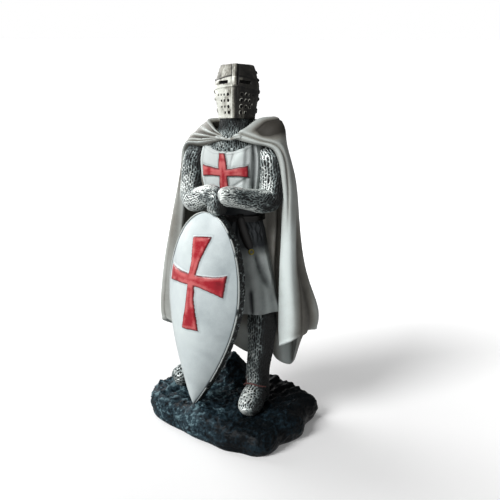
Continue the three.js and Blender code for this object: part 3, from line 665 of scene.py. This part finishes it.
# Folds pulled over the chest: how high, where each starts and ends, and how wide
CHEST_FOLDS = [(0.5, (10.5, 142), (1.5, 131), 2.2), (-0.6, (4.2, 140.5), (2, 130.5), 0.6),
               (0.5, (12, 124), (1, 115.5), 2), (-0.5, (11, 126.5), (2, 120.5), 0.7)]
CHEST_MIDDLE = (-1.4, 128.9)
CHEST_ARMS = [(11.8, 130.2, 3.1, 2.1, 0), (-15, 129.3, 3.2, 2.1, 0), (-2.6, 139.4, 1.6, 2.5, 0),
              (-1, 119.5, 2.8, 2.4, 0)]


def surcoat():
    """Surcoat with its red cross raised on the chest, folds at the armholes and a skirt in folds.

    The body's rings swell with waves that grow down the skirt. Gathers hang from the belt, and ridges and
    grooves along straight lines make the pulled cloth of the chest and the slanting folds under the belt.
    """
    angle = -math.pi / 2 + closer_in_front(230, 0.62)
    low = np.concatenate([np.linspace(53, 109, 75, endpoint=False), np.linspace(109, 130, 52)])
    share = np.linspace(0, 1, 44)[1:, None]
    top = neckline(section_grid(SURCOAT_STATIONS, [140], angle)[0, :, 0] - SOLES[0] + 0.3)
    z = np.concatenate([low[:, None] + 0 * angle, 130 + share * (np.minimum(top, 146)[None, :] - 130)])
    grid = section_grid(SURCOAT_STATIONS, z, angle, surcoat_fold)
    x = grid[..., 0] - SOLES[0]
    front = grid[..., 1] < -2
    wobble = 0.3 * value_noise(grid, 3.5, 51)
    cross = arms_of_cross(x + wobble, z + 0.3 * value_noise(grid, 4, 52), CHEST_MIDDLE, CHEST_ARMS, 2.2)
    cross = np.where(front, cross, NO_CROSS)
    fall = np.clip((101 - z) / 50, 0, 1)
    spread = angle + math.pi / 2 + 0 * z
    gather = 0.5 * bell(z, 97.5, 4.5) * np.cos(30 * spread + 1.5 * value_noise(grid, 8, 53))
    slant = 0
    for top_x, low_x, low_z in ((4.6, 13.3, 93.4), (8.2, 15.2, 93), (11.3, 16, 95.6)):
        slant = slant + 0.8 * ridge(x, z, (top_x, 105), (low_x, low_z), 0.8)
        slant = slant - 0.6 * ridge(x, z, (top_x + 1.7, 105), (low_x + 1.5, low_z), 0.6)
    slant = slant * front
    drape = fall * 0.16 * np.cos(17 * spread + 2.2 * value_noise(grid, 16, 54))
    crease = -0.9 * ridge(x, z, (14, 88), (21, 65), 0.8) + 0.5 * ridge(x, z, (16.5, 88), (23, 66), 1.5)
    crease = crease - 1.1 * ridge(x, z, (13.2, 68), (15.2, 50), 1.1)
    armhole = bell(np.abs(spread), 1.02, 0.045) - 0.8 * bell(np.abs(spread), 0.93, 0.05)
    armhole = 0.6 * armhole * smooth((z - 112) / 10)
    chest = 0
    for high, start, end, width in CHEST_FOLDS:
        chest = chest + high * ridge(x, z, start, end, width)
    drift = x + value_noise(grid, 8, 57)
    for way, place, reach in ((1, 11.6, 1.1), (-1, 9.9, 0.7), (-1, 13.4, 0.9)):
        chest = chest + 0.4 * way * ridge(drift, z, (place, 147), (place * 1.06, 110), reach)
    waves = 0.2 * value_noise(grid, 7, 55) * smooth((z - 108) / 8)
    chest = (chest * smooth((cross + 0.2) / 1.2) + waves) * front
    rim = 0.25 * smooth((z - (top[None, :] - 0.8)) / 0.4) * (z > 130)
    folds = gather + slant + drape + crease * front + armhole + chest
    grid = push_out(grid, folds + raised_cross(cross, 1.1, 0.12) + rim)
    # The wash lies in the folds and round the cross. Painted shade darkens the chest by the left armhole, a
    # band about the waist under the forearms and the left front of the skirt; a painted sheen lightens the
    # cross's middle
    relief = 0.7 + 0.38 * (folds - 0.5 * slant) + 0.04 * smooth((z - 100) / 9) - 0.25 * bell(cross, 0.4, 0.3)
    relief = relief - 0.3 * smooth((x - 8) / 3) * smooth((z - 112) / 8)
    relief = relief - 0.7 * smooth((z - 82) / 14) * smooth((117 - z) / 6)
    relief = relief - 0.25 * smooth((108 - z) / 8) * smooth((x - 2) / 6)
    relief = relief + 0.2 * bell(cross, -1.4, 0.9) * (1 + 1.5 * value_noise(grid, 2.2, 56))
    tube("surcoat", grid, {"relief": relief, "cross": cross}, SURCOAT)


surcoat()


BELT_LOW = 102.5
BELT_HEIGHT = 3.6
BELT_THICKNESS = 1.1


def belt():
    """The belt: the waist's own ring, moved out by the belt's thickness, with two raised edges."""
    angle = np.arange(180) / 180 * TAU
    t = np.linspace(0, 1, 15)
    z = BELT_LOW + BELT_HEIGHT * t
    out = BELT_THICKNESS * ((t > 0) & (t < 1)) + 0.12 * (bell(t, 0.12, 0.08) + bell(t, 0.88, 0.08))
    stations = [[high, -0.5, 0, 15 + more, 11 + more, 2.2] for high, more in zip(z, out)]
    grid = section_grid(stations, z, angle)
    relief = 0.4 + 0.4 * (bell(t, 0.12, 0.1) + bell(t, 0.88, 0.1))[:, None] + 0 * angle
    tube("belt", grid, {"relief": relief}, LEATHER)


belt()


# Shield
APEX = np.array([-4.4, -24.4, 109.2]) + SOLES
POINT = np.array([-16.5, -22, -0.8]) + SOLES
DOWN = POINT - APEX
SHIELD_LENGTH = np.linalg.norm(DOWN)
YAW = math.radians(-15)
OUT = np.cross(DOWN, (math.cos(YAW), math.sin(YAW), 0))
OUT /= np.linalg.norm(OUT)
ACROSS = np.cross(OUT, DOWN)
ACROSS /= np.linalg.norm(ACROSS)
WIDEST = 0.4
SHIELD_HALF = 25.0
SHIELD_BULGE = 11.3
SHIELD_MIDDLE = (0.2, 34.6)
SHIELD_ARMS = [(2.7, 62, 5.6, 2.3, 0), (0.5, 12, 6.2, 2.3, 0.21), (18.8, 34.8, 6.1, 3, 0),
               (-20, 37, 4.4, 3, 0)]


def shield_half(v):
    """Half width at v, from 0 at the rounded top to 1 at the point: an ellipse above, a long taper below."""
    above = (WIDEST - v) / WIDEST
    below = np.maximum(v - WIDEST, 0) / (1 - WIDEST)
    share = np.where(v < WIDEST, np.sqrt(np.maximum(0, 1 - above ** 2)), 1 - below ** 1.7)
    return SHIELD_HALF * share


def on_shield(across, v, lift):
    """A point across from -1 to 1 and down from 0 to 1, lifted out of the bulging face."""
    bulge = SHIELD_BULGE * np.maximum(0, np.sin(math.pi * v)) ** 0.75 * (1 - across ** 2)
    return (APEX + v[..., None] * DOWN + (across * shield_half(v))[..., None] * ACROSS
            + (bulge + lift)[..., None] * OUT)


def shield():
    """The white face with its raised red cross: the bulging face, moved out by slow waves and the cross."""
    across = np.linspace(-1, 1, 110)
    across = across * (1.35 - 0.35 * across ** 2)
    run = 0.5 - 0.5 * np.cos(math.pi * np.linspace(0, 1, 190))
    v = (0.003 + 0.994 * (0.4 * run + 0.6 * np.linspace(0, 1, 190)))[:, None]
    across = across[None, :] + 0 * v
    v = v + 0 * across
    x = across * shield_half(v)
    z = v * SHIELD_LENGTH
    base = on_shield(across, v, 0 * v)
    wobble = 0.3 * value_noise(base, 5, 61)
    cross = arms_of_cross(x + wobble, z + 0.3 * value_noise(base, 4, 62), SHIELD_MIDDLE, SHIELD_ARMS, 2)
    edge = (1 - np.abs(across)) * shield_half(v)
    waves = 0.22 * value_noise(base, 12, 63) + 0.1 * value_noise(base, 4, 64)
    height = waves + raised_cross(cross, 0.9, 0.1)
    inside = smooth(edge / 1.2)
    front = on_shield(across, v, height * inside - 0.25)
    back = on_shield(across, v, -1.5 * np.sqrt(np.clip(edge / 2, 0, 1)) - 0.25 + 0 * v)
    relief = 0.74 + 0.4 * waves - 0.1 * bell(cross, 0.7, 0.35) - 0.75 * bell(edge, 0.3, 0.35 + 0.5 * (x < 0))
    # A painted sheen lightens the middles of the cross's arms. Painted shade darkens the face towards larger
    # x and the cross towards the point
    relief = relief + 0.2 * bell(cross, -1.5, 0.9) * (1 + 1.5 * value_noise(base, 2.2, 65))
    relief = relief - 0.21 * smooth((x + 4) / 24) - 0.12 * smooth((z - 40) / 30) * (cross < 0)
    coats = {"relief": relief, "cross": cross}
    pillow("shield_face", front, back, coats, plain_cloth(0 * v + 0.3), SHIELD)


shield()


def shield_edge():
    """The thick rim behind the face, with a bright front edge and pitted sides.

    One profile, given as how far in from the outline and how far out of the face, runs round the outline.
    """
    count = 900
    turn = np.arange(count) / count
    side = np.where(turn < 0.5, 1, -1)
    s = np.where(turn < 0.5, turn, 1 - turn) * 2
    v = 0.003 + 0.994 * (0.5 - 0.5 * np.cos(math.pi * s)) ** 0.9
    edge = on_shield(side * 1.0 + 0 * v, v, 0 * v)
    middle = on_shield(0 * v, v, 0 * v)
    bulge = ((middle - edge) @ OUT)
    inward = -(side * np.minimum(1, shield_half(v) / 3))[:, None] * ACROSS
    inward = inward + (DOWN / SHIELD_LENGTH) * (0.6 * (1 - s) ** 6 - 0.5 * s ** 20)[:, None]
    band = np.linspace(-0.9, -5.1, 15)
    lip = [[0.3, -0.1], [0.05, 0.25], [-0.25, 0.1], [-0.3, -0.4], [-0.15, -0.75]]
    behind = [[0.3, -5.4], [1.6, -5.5], [2.6, -5.2], [2.8, -4.4], [1.4, -1.8]]
    profile = np.concatenate([lip, np.stack([0 * band, band], axis=1), behind])
    grid = edge[:, None] + profile[None, :, :1] * inward[:, None] + profile[None, :, 1:] * OUT
    wander = 0.9 * value_noise(grid, 2.5, 67)
    strands = mail(np.arange(count)[:, None] / count * 170 + wander, profile[None, :, 1] / 1.25 + wander)
    side_band = ((profile[:, 1] < -0.8) & (profile[:, 1] > -5.2))[None, :]
    grid = grid - inward[:, None] * (0.4 * (strands - 0.6) * side_band)[..., None]
    relief = np.where(side_band, 0.55 * strands * (1 + 0.7 * value_noise(grid, 1.1, 68)),
                      1.1 - 0.7 * smooth(2 * value_noise(grid, 5, 69) - 0.6))
    relief = np.where(profile[None, :, 1] < -5.3, 0.45, relief)
    loop("shield_edge", grid, {"relief": relief}, RIM)


shield_edge()


def shield_back():
    """The hollow back of the shield: the bulging face moved in, with shallow ridges, painted as leather."""
    across = np.linspace(-1, 1, 50)[None, :]
    v = (0.01 + 0.98 * (0.5 - 0.5 * np.cos(math.pi * np.linspace(0, 1, 90))))[:, None] + 0 * across
    across = across + 0 * v
    edge = (1 - np.abs(across)) * shield_half(v)
    thick = np.sqrt(np.clip(edge / 2.5, 0, 1))
    ridges = 0.15 * value_noise(on_shield(across, v, 0 * v), 5, 66)
    front = on_shield(across * 0.98, v, -3.6 + 1.6 * thick)
    back = on_shield(across * 0.98, v, -3.6 - 1.9 * thick + ridges * thick)
    coat = {"relief": 0.5 + 2 * ridges}
    pillow("shield_back", front, back, coat, coat, LEATHER)


shield_back()


# Helmet
HELMET_BASE = np.array([-0.35, 0.6, 155.8]) + SOLES
HELMET_STATIONS = [[0, 9.5, 10.6], [4, 10.1, 11.3], [9, 11, 12.1], [14, 11.5, 12.6], [18.5, 11.4, 12.5],
                   [23, 10.4, 11.5], [27.2, 9.1, 10.2], [28, 8.6, 9.7]]


def turned(points):
    """Tips the helmet back about X, then turns it to the figure's left about Z."""
    tip, turn = math.radians(-8), math.radians(20)
    x, y, z = points[..., 0], points[..., 1], points[..., 2]
    y, z = y * math.cos(tip) - z * math.sin(tip), y * math.sin(tip) + z * math.cos(tip)
    x, y = x * math.cos(turn) - y * math.sin(turn), x * math.sin(turn) + y * math.cos(turn)
    return np.stack([x, y, z], axis=-1)


def helmet_point(facing, t, lift):
    """A point on the barrel at an angle from its front and a way t up it, stood out by a lift."""
    angle = facing - math.pi / 2
    values = along(HELMET_STATIONS, t)
    height, wide, deep = (values[..., k] for k in range(3))
    square = 2 - 0.62 * smooth((1.8 - np.abs(facing)) / 1.1)
    reach = (np.abs(np.cos(angle)) ** square + np.abs(np.sin(angle)) ** square) ** (-1 / square)
    x = np.cos(angle) * (wide * reach + lift)
    y = np.sin(angle) * (deep * reach + lift)
    return np.stack([x, y, height], axis=-1)


def helmet():
    """The great helm: plates, a cross-shaped reinforcing band, eye slits, breath holes and knobs.

    A point of the barrel moves out by the sum of its bands and knobs and in by its grooves, slits and holes.
    Their places are given as the way round from the front and the height above the helmet's lower edge.
    """
    facing = closer_in_front(280, 0.5)
    t = np.linspace(0, 1, 180)[:, None]
    facing = facing[None, :] + 0 * t
    t = t + 0 * facing
    height = along(HELMET_STATIONS, t)[..., 0]
    radius = along(HELMET_STATIONS, t)[..., 1]
    s = facing * radius
    side = np.abs(s)
    arch = 21.6 - 0.035 * side ** 1.5
    band_low = 16 - 0.02 * side ** 1.5
    upper = smooth((height - 16.5) / 1)
    spine = smooth((1.5 - side) / 0.35) * upper
    keel = smooth((0.8 - side) / 0.3) * (1 - upper)
    brow = smooth((arch - height) / 0.4) * smooth((height - band_low) / 0.4) * smooth((18 - side) / 1)
    grooves = bell(side, 1.85, 0.28) * upper + 0.6 * bell(side, 1.1, 0.28) * (1 - upper)
    lift = 0.5 * spine + 0.45 * keel + 0.36 * brow * (1 - spine) - 0.35 * grooves
    lift = lift + 0.1 * smooth((1.3 - height) / 0.4)
    # Eye slits
    slit_middle = 18.7 - 0.03 * side
    along_slit = side - np.where(s < 0, 0.5, -0.8)
    slit = smooth((0.85 - np.abs(height - slit_middle)) / 0.25)
    slit = slit * smooth((along_slit - 3.4) / 0.3) * smooth((11.3 - along_slit) / 0.3)
    lift = lift - 1.9 * slit
    # Breath holes, in rows, with a painted highlight on the upper edge of each, on its -X side
    holes = np.zeros_like(lift)
    highlit_rims = np.zeros_like(lift)
    for row, (z, count) in enumerate(((12.1, 4), (9, 3), (5.9, 3), (2.9, 2))):
        for place, size in ((4.2, 0.9), (7.3, 0.72), (9.9, 0.66), (12.2, 0.56))[:count]:
            away = side - place + 0.2 * row
            gap = np.hypot(away, height - z)
            holes = np.maximum(holes, smooth((size - gap) / 0.3))
            lit = smooth(0.6 + 0.5 * (height - z - away * np.sign(s)) / (gap + 0.3))
            highlit_rims = np.maximum(highlit_rims, bell(gap, size + 0.2, 0.22) * lit)
    lift = lift - 1.0 * holes + 0.06 * highlit_rims
    # Knobs at both sides, one above the other
    knobs = np.zeros_like(lift)
    for z, size in ((24.6, 1.0), (20.4, 0.9), (14.2, 1.0), (10.4, 1.0), (4.4, 1.3)):
        gap = np.hypot((side - 17.8) / 1.1, (height - z) / 1.35)
        knobs = np.maximum(knobs, 0.75 * smooth((size - gap) / 0.7))
    grid = turned(helmet_point(facing, t, lift + knobs)) + HELMET_BASE
    dents = 0.1 * value_noise(grid, 3, 71) + 0.05 * value_noise(grid, 0.9, 72)
    grid = push_out(grid, dents)
    # Paint: bands and their edges, with painted shade on the +X side of the upright band and the keel and a
    # painted highlight beside the keel on its -X side, then the darker upper plate, then near-black painted
    # shade over the +X half
    relief = 0.72 + 1.4 * dents + 0.15 * brow + 0.1 * bell(side, 1.55, 0.3) * spine - 0.5 * grooves
    relief = relief - (0.2 + 0.16 * smooth(s / 0.8 + 0.3)) * spine
    relief = relief - (0.3 + 0.16 * smooth(s / 0.6 + 0.5)) * keel + 0.4 * bell(s, -1.5, 0.25)
    relief = relief - (0.22 + 0.08 * value_noise(grid, 2.6, 76)) * upper * smooth(-s - 1)
    edges = bell(height, arch + 0.1, 0.4) + 0.08 * bell(height, band_low - 0.1, 0.4)
    # Painted shade, near black, over the +X half
    painted_shade = (0.5 + 0.1 * brow + 0.06 * value_noise(grid, 2.2, 74)) * smooth((s - 0.6) / 0.7)
    relief = relief - 0.35 * edges * (1 - spine) * (side < 16) - painted_shade
    relief = relief - 1.4 * smooth(1.6 * holes) - 1.2 * slit
    # Painted glints: bright specks on the hole rims and about the pierced area, inside the painted shade
    specks = smooth(2.5 * value_noise(grid, 1.1, 73) + 0.7)
    pierced = smooth((13 - height) / 2) * smooth(height - 1.5) * smooth(side - 2) * smooth((13 - side) / 2)
    highlit_rims = np.maximum(highlit_rims, 0.55 * pierced * smooth(4 * value_noise(grid, 0.7, 75) - 1.6))
    relief = relief + 1.5 * painted_shade * highlit_rims * (1 - holes) * specks - 0.35 * smooth(knobs / 0.5)
    tube("great_helm", grid, {"relief": relief}, HELMET)


helmet()


# Cloak
# Rows from the neck to the hem, each from its right front edge round the back to its left front edge
CLOAK_ROWS = np.array([
    [[-1, -13, 147.3], [-5, -10.6, 149.2], [-9.6, -7.6, 151.3], [-16.5, 0, 155], [-13, 8, 155.5],
     [-6, 13, 154], [1, 14, 153.5], [9, 13, 154.6], [14.5, 9.5, 156.3], [17, 4.5, 157], [13, -2, 156.8],
     [9.4, -8, 153.2], [3, -13, 147.8]],
    [[-16.5, -9.8, 143.2], [-20, -6, 146], [-23, -1.5, 148.8], [-24, 4, 150.4], [-19, 9.6, 151],
     [-9, 15, 150], [1, 16.5, 150], [10, 16, 151.2], [19.5, 12, 154.2], [24.3, 6, 155], [24.3, -0.8, 153],
     [20, -6.5, 148.6], [13.5, -11, 145]],
    [[-29, -3.6, 140.3], [-31.2, -2, 140.8], [-32, 2, 141], [-30, 7.4, 141], [-24, 13, 142], [-12, 17, 142],
     [0, 18.5, 142], [12, 17, 142], [21.5, 13, 142], [26, 7.5, 142], [28, 2, 142], [27.6, -4.2, 141.5],
     [24.3, -6, 140.5]],
    [[-30.5, 0.6, 124], [-34.8, -1.2, 124], [-34.9, 4, 124], [-31, 12, 124], [-22, 18, 124],
     [-11, 20.5, 124], [0, 21.5, 124], [11, 20.5, 124], [21, 17.5, 124], [28.5, 11.5, 124], [31.4, 5, 124],
     [31, -2.4, 124], [27.2, -3.8, 124]],
    [[-33, 1, 102], [-39, -1.4, 102], [-39.2, 6, 102], [-33.6, 16, 102], [-22, 22, 102], [-10, 25, 102],
     [2, 26, 102], [13, 25, 102], [23, 21.5, 102], [29.6, 14, 102], [32.7, 6, 102], [32.2, -2, 102],
     [27.4, -3.4, 102]],
    [[-36.5, 1.4, 74], [-44.8, -1.4, 74], [-44.2, 8, 74], [-35.6, 19, 74], [-22, 25.5, 74], [-9, 29, 74],
     [4, 30, 74], [16, 29, 74], [27, 25.5, 74], [32.2, 16.4, 74], [34.4, 7.3, 74], [32.6, -1.7, 74],
     [25.8, -2.6, 74]],
    [[-39, 1.6, 46], [-48.2, -1.4, 48], [-47, 10, 47], [-37.6, 22, 46], [-22, 29, 46], [-7, 31.5, 46],
     [7, 32.5, 46], [19, 31.5, 46], [32, 27.5, 48], [38.6, 17.6, 50], [39.8, 8, 50], [35, -1.8, 48.4],
     [25.4, -2.6, 47]],
    [[-38, 1.6, 35], [-47.2, -0.4, 38.5], [-45.8, 10, 32.5], [-36.6, 22, 27], [-22, 29, 24],
     [-8.5, 31.5, 14], [8.5, 31.8, 17.5], [20, 28.5, 11.5], [29.5, 27, 30], [37, 17.6, 38.8],
     [39.2, 8, 38.8], [34.6, -1.4, 37.4], [25.6, -1.6, 32.7]]], float)


# Half the thickness of the cloak
CLOAK_HALF = 1.5


def cloak_rows(u, v):
    """Points of the plain cloak: along each row first, then down the rows at each place."""
    across = np.stack([along(row, u) for row in CLOAK_ROWS])
    result = np.empty((len(v), len(u), 3))
    for k in range(len(u)):
        result[:, k] = along(across[:, k], v)
    return result


def cloak():
    """The cloak: soft vertical folds, pleats that fan out from the clasp, and rolled front edges.

    The plain cloak moves out by the sum of its folds, two cosines across that deepen towards the hem, of the
    pleats, a cosine of the angle about the clasp, and of ridges and grooves at set ways in from its borders.
    """
    spread = np.linspace(0, 1, 210)
    u = 0.45 * spread + 0.55 * (0.5 - 0.5 * np.cos(math.pi * spread))
    drop = np.linspace(0, 1, 175)
    v = 0.55 * drop + 0.45 * (0.5 - 0.5 * np.cos(math.pi * drop))
    grid = cloak_rows(u, v)
    out = normals(grid, False)
    uu, vv = np.meshgrid(u, v)
    fall = smooth((vv - 0.25) / 0.6)
    inside = smooth(uu / 0.12) * smooth((0.86 - uu) / 0.12)
    folds = 2.1 * np.cos(TAU * 6.5 * uu + 0.8 * vv) + 0.9 * np.cos(TAU * 11 * uu + 2 + 2 * vv)
    folds = fall * inside * folds
    soft = 0.35 * value_noise(grid * (1, 1, 0.25), 7, 81) * fall
    clasp_turn = np.arctan2(vv / 0.29, np.maximum(uu, 1e-4) / 0.2)
    clasp_far = np.hypot(vv / 0.29, uu / 0.2)
    pleats = 0.75 * np.cos(clasp_turn * 18) * bell(clasp_far, 0.62, 0.42) * smooth(clasp_far / 0.25)
    from_first = np.linalg.norm(np.gradient(grid, axis=1), axis=-1).cumsum(1)
    from_last = from_first[:, -1:] - from_first
    edge = np.minimum(from_first, from_last)
    down_run = np.linalg.norm(np.gradient(grid, axis=0), axis=-1).cumsum(0)
    hem = down_run[-1:] - down_run
    upper = smooth((0.62 - vv) / 0.2)
    roll = 0.5 * bell(from_first, 1.6, 1.3) - 0.4 * bell(from_first, 4.2, 0.8) * upper
    roll = roll + upper * (0.7 * bell(from_last, 1.9, 1.5) + 0.55 * bell(from_last, 5.6, 1.3))
    roll = roll - upper * 0.9 * bell(from_last, 3.8, 0.6)
    low = smooth((vv - 0.5) / 0.15)
    roll = roll + low * (0.7 * bell(from_last, 6, 5) - 0.35 * bell(from_last, 15.5, 0.8)
                         - 0.8 * smooth((from_last - 8) / 8) * smooth((30 - from_last) / 8))
    hood_line = smooth((uu - 0.62) / 0.05) * smooth((0.95 - uu) / 0.05)
    roll = roll + hood_line * (0.4 * bell(down_run, 2.8, 1.6) - 0.55 * bell(down_run, 5.8, 0.9)
                               - 0.6 * bell(down_run, 8.5, 2.8))
    roll = roll + 0.3 * bell(hem, 1.4, 1.1) + 0.4 * bell(down_run, 1.4, 1.2)
    height = folds + soft + pleats + roll
    border = np.minimum(np.minimum(edge, hem), down_run)
    thick = CLOAK_HALF * np.sqrt(np.clip(1 - (1 - np.clip(border / CLOAK_HALF, 0, 1)) ** 2, 0, 1))
    middle = grid + SOLES + out * (height - CLOAK_HALF)[..., None]
    front = middle + out * thick[..., None]
    back = middle - out * thick[..., None]
    relief = 0.68 + 0.08 * folds + 0.2 * soft + (0.5 * pleats - 0.12) * (uu < 0.5) + 0.3 * roll
    # Painted light and shade: low down the cloak is lighter by its left front edge and darker further round,
    # lighter by its right front edge, darker over its upper part and in a painted shadow below the hood line
    relief = relief + low * (0.16 * bell(from_last, 3, 5) - 0.2 * smooth((from_last - 8) / 11))
    relief = relief + 0.28 * smooth((vv - 0.55) / 0.2) * smooth((18 - from_first) / 8)
    relief = relief - 0.6 * hood_line * bell(down_run, 9.5, 5) - 0.12 * smooth((0.5 - vv) / 0.1)
    x, y, z = (grid[..., k] for k in range(3))
    # Painted shadow in the hollow under the hood on the left shoulder
    hollow = ridge(x, z, (15, 151.5), (32, 150.5), 3)
    relief = relief - 0.4 * hollow * smooth((uu - 0.5) / 0.1) * smooth((10 - y) / 4)
    # Painted light and shade inside: a painted highlight beside a painted shadow low at the back, and the
    # inside darker further up from the hem
    lobe_highlight_and_shade = 0.3 * ridge(x, z, (16, 32), (18.5, 9), 2.5) - 0.35 * ridge(x, z, (20.8, 32), (22.8, 11), 1.2)
    inner = 0.66 - 0.35 * smooth((hem - 12) / 8) + 0.06 * folds + lobe_highlight_and_shade * (y > 15)
    pillow("cloak", front, back, plain_cloth(relief), plain_cloth(inner), CLOAK)


cloak()

HOOD = [
    [112, 2, 22, 3, 2, 2], [118, 2, 22.4, 8, 3.6, 2], [128, 1.6, 21.6, 12.5, 5.2, 2],
    [139, 1.2, 19.4, 15.5, 6.2, 2], [147, 0.8, 15.8, 16.5, 6.2, 2], [152, 0.5, 13, 14.5, 5, 2],
    [155, 0.5, 12, 12, 3.2, 2]]


def hood():
    """The hood let down behind the neck: a pouch moved out by waves that sag from both shoulders."""
    angle = np.arange(150) / 150 * TAU
    grid = section_grid(HOOD, np.linspace(112, 155, 90), angle)
    x = grid[..., 0] - SOLES[0] - 1.2
    z = grid[..., 2] - SOLES[2]
    sag = z + 0.055 * x ** 2
    folds = 0.5 * np.cos(sag * 0.5 + value_noise(grid, 9, 92)) * smooth((z - 113) / 10)
    folds = folds + 0.4 * value_noise(grid, 7, 91)
    folds = folds * smooth((155 - z) / 4)
    tube("hood", push_out(grid, folds - 0.5), plain_cloth(0.6 + 0.25 * folds), CLOAK)


hood()

CORE = [
    [52, -3, 12, 24, 14, 2.4], [74, -2, 10, 24, 14, 2.4], [102, -3, 12, 25, 12, 2.4],
    [124, -2.5, 6, 26, 13, 2.4], [140, -2, 5, 23, 11, 2.2], [150, -0.5, 4, 14, 10, 2]]


def lining():
    """The mass that joins back, cloak and shoulders: a body moved in, in even folds, painted as the cloak."""
    angle = np.arange(112) / 112 * TAU
    grid = section_grid(CORE, np.linspace(52, 150, 40), angle)
    folds = 0.8 * np.cos(angle * 14) + 0.4 * value_noise(grid * (1, 1, 0.3), 6, 95)
    coats = plain_cloth(0.35 + 0.12 * folds)
    tube("cloak_lining", push_out(grid, folds - 1.2), coats, CLOAK)


lining()


# Small parts
def plain_limb(name, stations, rows, columns, material):
    """A cord or strap: plain rings along its stations, with paint that is a little uneven."""
    grid, _, _ = limb_grid(stations, rows, columns)
    tube(name, grid, plain_cloth(0.6 + 0.3 * value_noise(grid, 1.5, 97)), material)


for side_name, hand in (("right", -1), ("left", 1)):
    cord = [
        [0.9 + hand * 7.6, -11.2, 147.4 + hand * 0.5, 0.5, 0.5],
        [0.9 + hand * 6.6, -12, 147.4 + hand * 0.5, 1, 1],
        [0.9 + hand * 5.2, -12.6, 147.2 + hand * 0.4, 0.6, 0.6], [0.9 + hand * 2.5, -13.2, 146.8, 0.72, 0.72],
        [0.9 + hand * 0.6, -13.3, 146.6, 0.62, 0.62], [0.9 - hand * 0.4, -13.1, 146.4, 0.4, 0.4]]
    plain_limb(f"clasp_cord_{side_name}", cord, 40, 20, CLOAK)

BELT_END = [
    [6.6, -9.8, 106.5, 1.9, 0.8], [7.2, -11, 104, 2.2, 0.9], [8.3, -10.9, 100.2, 2.3, 0.9],
    [10.1, -10.8, 94.9, 2.4, 0.9], [12, -10.5, 90.6, 2.2, 0.9], [12.9, -10.3, 88.6, 1.4, 0.7]]
plain_limb("belt_end", BELT_END, 60, 24, LEATHER)
FOOT_STRAP = [
    [6.2, -1, 6.6, 0.45, 0.45], [6.2, -4.4, 8.4, 0.45, 0.45], [8.8, -7.4, 10.8, 0.45, 0.45],
    [12.8, -8.3, 11.4, 0.45, 0.45], [16.6, -7, 10.4, 0.45, 0.45], [19, -3.5, 9.2, 0.4, 0.4]]
plain_limb("foot_strap", FOOT_STRAP, 60, 16, STRAP)
ANKLE_CORD = [[9.6, -6.6, 18, 0.3, 0.3], [8.9, -6.3, 14, 0.35, 0.35], [8.2, -6.2, 10.4, 0.35, 0.35]]
plain_limb("ankle_cord", ANKLE_CORD, 30, 12, STRAP)


def round_ring(name, middle, facing, radius, half_wire, material):
    """A ring: a circle of wire about a middle, in the plane that its facing is square to."""
    facing = np.array(facing, float) / np.linalg.norm(facing)
    across = np.cross(facing, (0, 0, 1))
    across /= np.linalg.norm(across)
    up = np.cross(across, facing)
    turn = np.arange(36) / 36 * TAU
    spoke = np.cos(turn)[:, None] * across + np.sin(turn)[:, None] * up
    section = np.arange(12) / 12 * TAU
    grid = (np.array(middle) + SOLES + spoke[:, None] * (radius + half_wire * np.cos(section))[None, :, None]
            + facing * (half_wire * np.sin(section))[None, :, None])
    loop(name, grid, {"relief": 0.6 + 0.3 * value_noise(grid, 1.2, 98)}, material)


round_ring("belt_ring", (13.3, -10.4, 87), (0.5, -1, 0.1), 1.25, 0.4, GOLD)


# Floor and light
def stage():
    """A plain pale floor with a soft shadow. It glows more further off, so that it shows no horizon."""
    mesh = bpy.data.meshes.new("floor")
    reach = 40.0
    mesh.from_pydata([(-reach, -reach, 0), (reach, -reach, 0), (reach, reach, 0), (-reach, reach, 0)], [],
                     [(0, 1, 2, 3)])
    floor = bpy.data.objects.new("floor", mesh)
    bpy.context.scene.collection.objects.link(floor)
    material, tree, shader, place = new_material("plain pale floor")
    away = add(tree, "VectorMath", {0: place}, "Value", operation="LENGTH")
    glow = add(tree, "MapRange", {"Value": away, "From Min": 0.1, "From Max": 0.4, "To Min": 0.1,
                                  "To Max": 0.5})
    wire(tree, shader, {"Base Color": linear("#f4f4f4"), "Roughness": 0.9, "Specular IOR Level": 0.0,
                        "Emission Color": linear("#ffffff"), "Emission Strength": glow})
    mesh.materials.append(material)
    floor.visible_diffuse = False
    floor.visible_glossy = False


stage()


def lamp(name, kind, place, energy, **settings):
    """A light at a place in millimetres, turned to the middle of the figure."""
    light = bpy.data.lights.new(name, kind)
    light.energy = energy
    for key, value in settings.items():
        setattr(light, key, value)
    aim(bpy.data.objects.new(name, light), place, (5, 0, 90))


lamp("key", "SUN", (-302, -760, 664), 2.9, angle=0.45)
lamp("fill", "AREA", (500, -900, 420), 1.0, shape="DISK", size=0.9)
lamp("window", "AREA", (-800, 300, 480), 7.0, shape="DISK", size=0.8)

world = bpy.data.worlds.new("studio")
bpy.context.scene.world = world
world.use_nodes = True
sky = add(world.node_tree, "LightPath", {}, "Is Camera Ray")
way = add(world.node_tree, "SeparateXYZ", {0: add(world.node_tree, "TexCoord", {}, "Generated")}, "Z")
bounce = add(world.node_tree, "MapRange", {"Value": way, "From Min": -0.5, "From Max": 0.1, "To Min": 0.5,
                                           "To Max": 0.13})
strength = add(world.node_tree, "MapRange", {"Value": sky, "To Min": bounce, "To Max": 1.0})
wire(world.node_tree, world.node_tree.nodes["Background"], {"Color": linear("#ffffff"), "Strength": strength})
bpy.context.scene.view_settings.view_transform = "Standard"
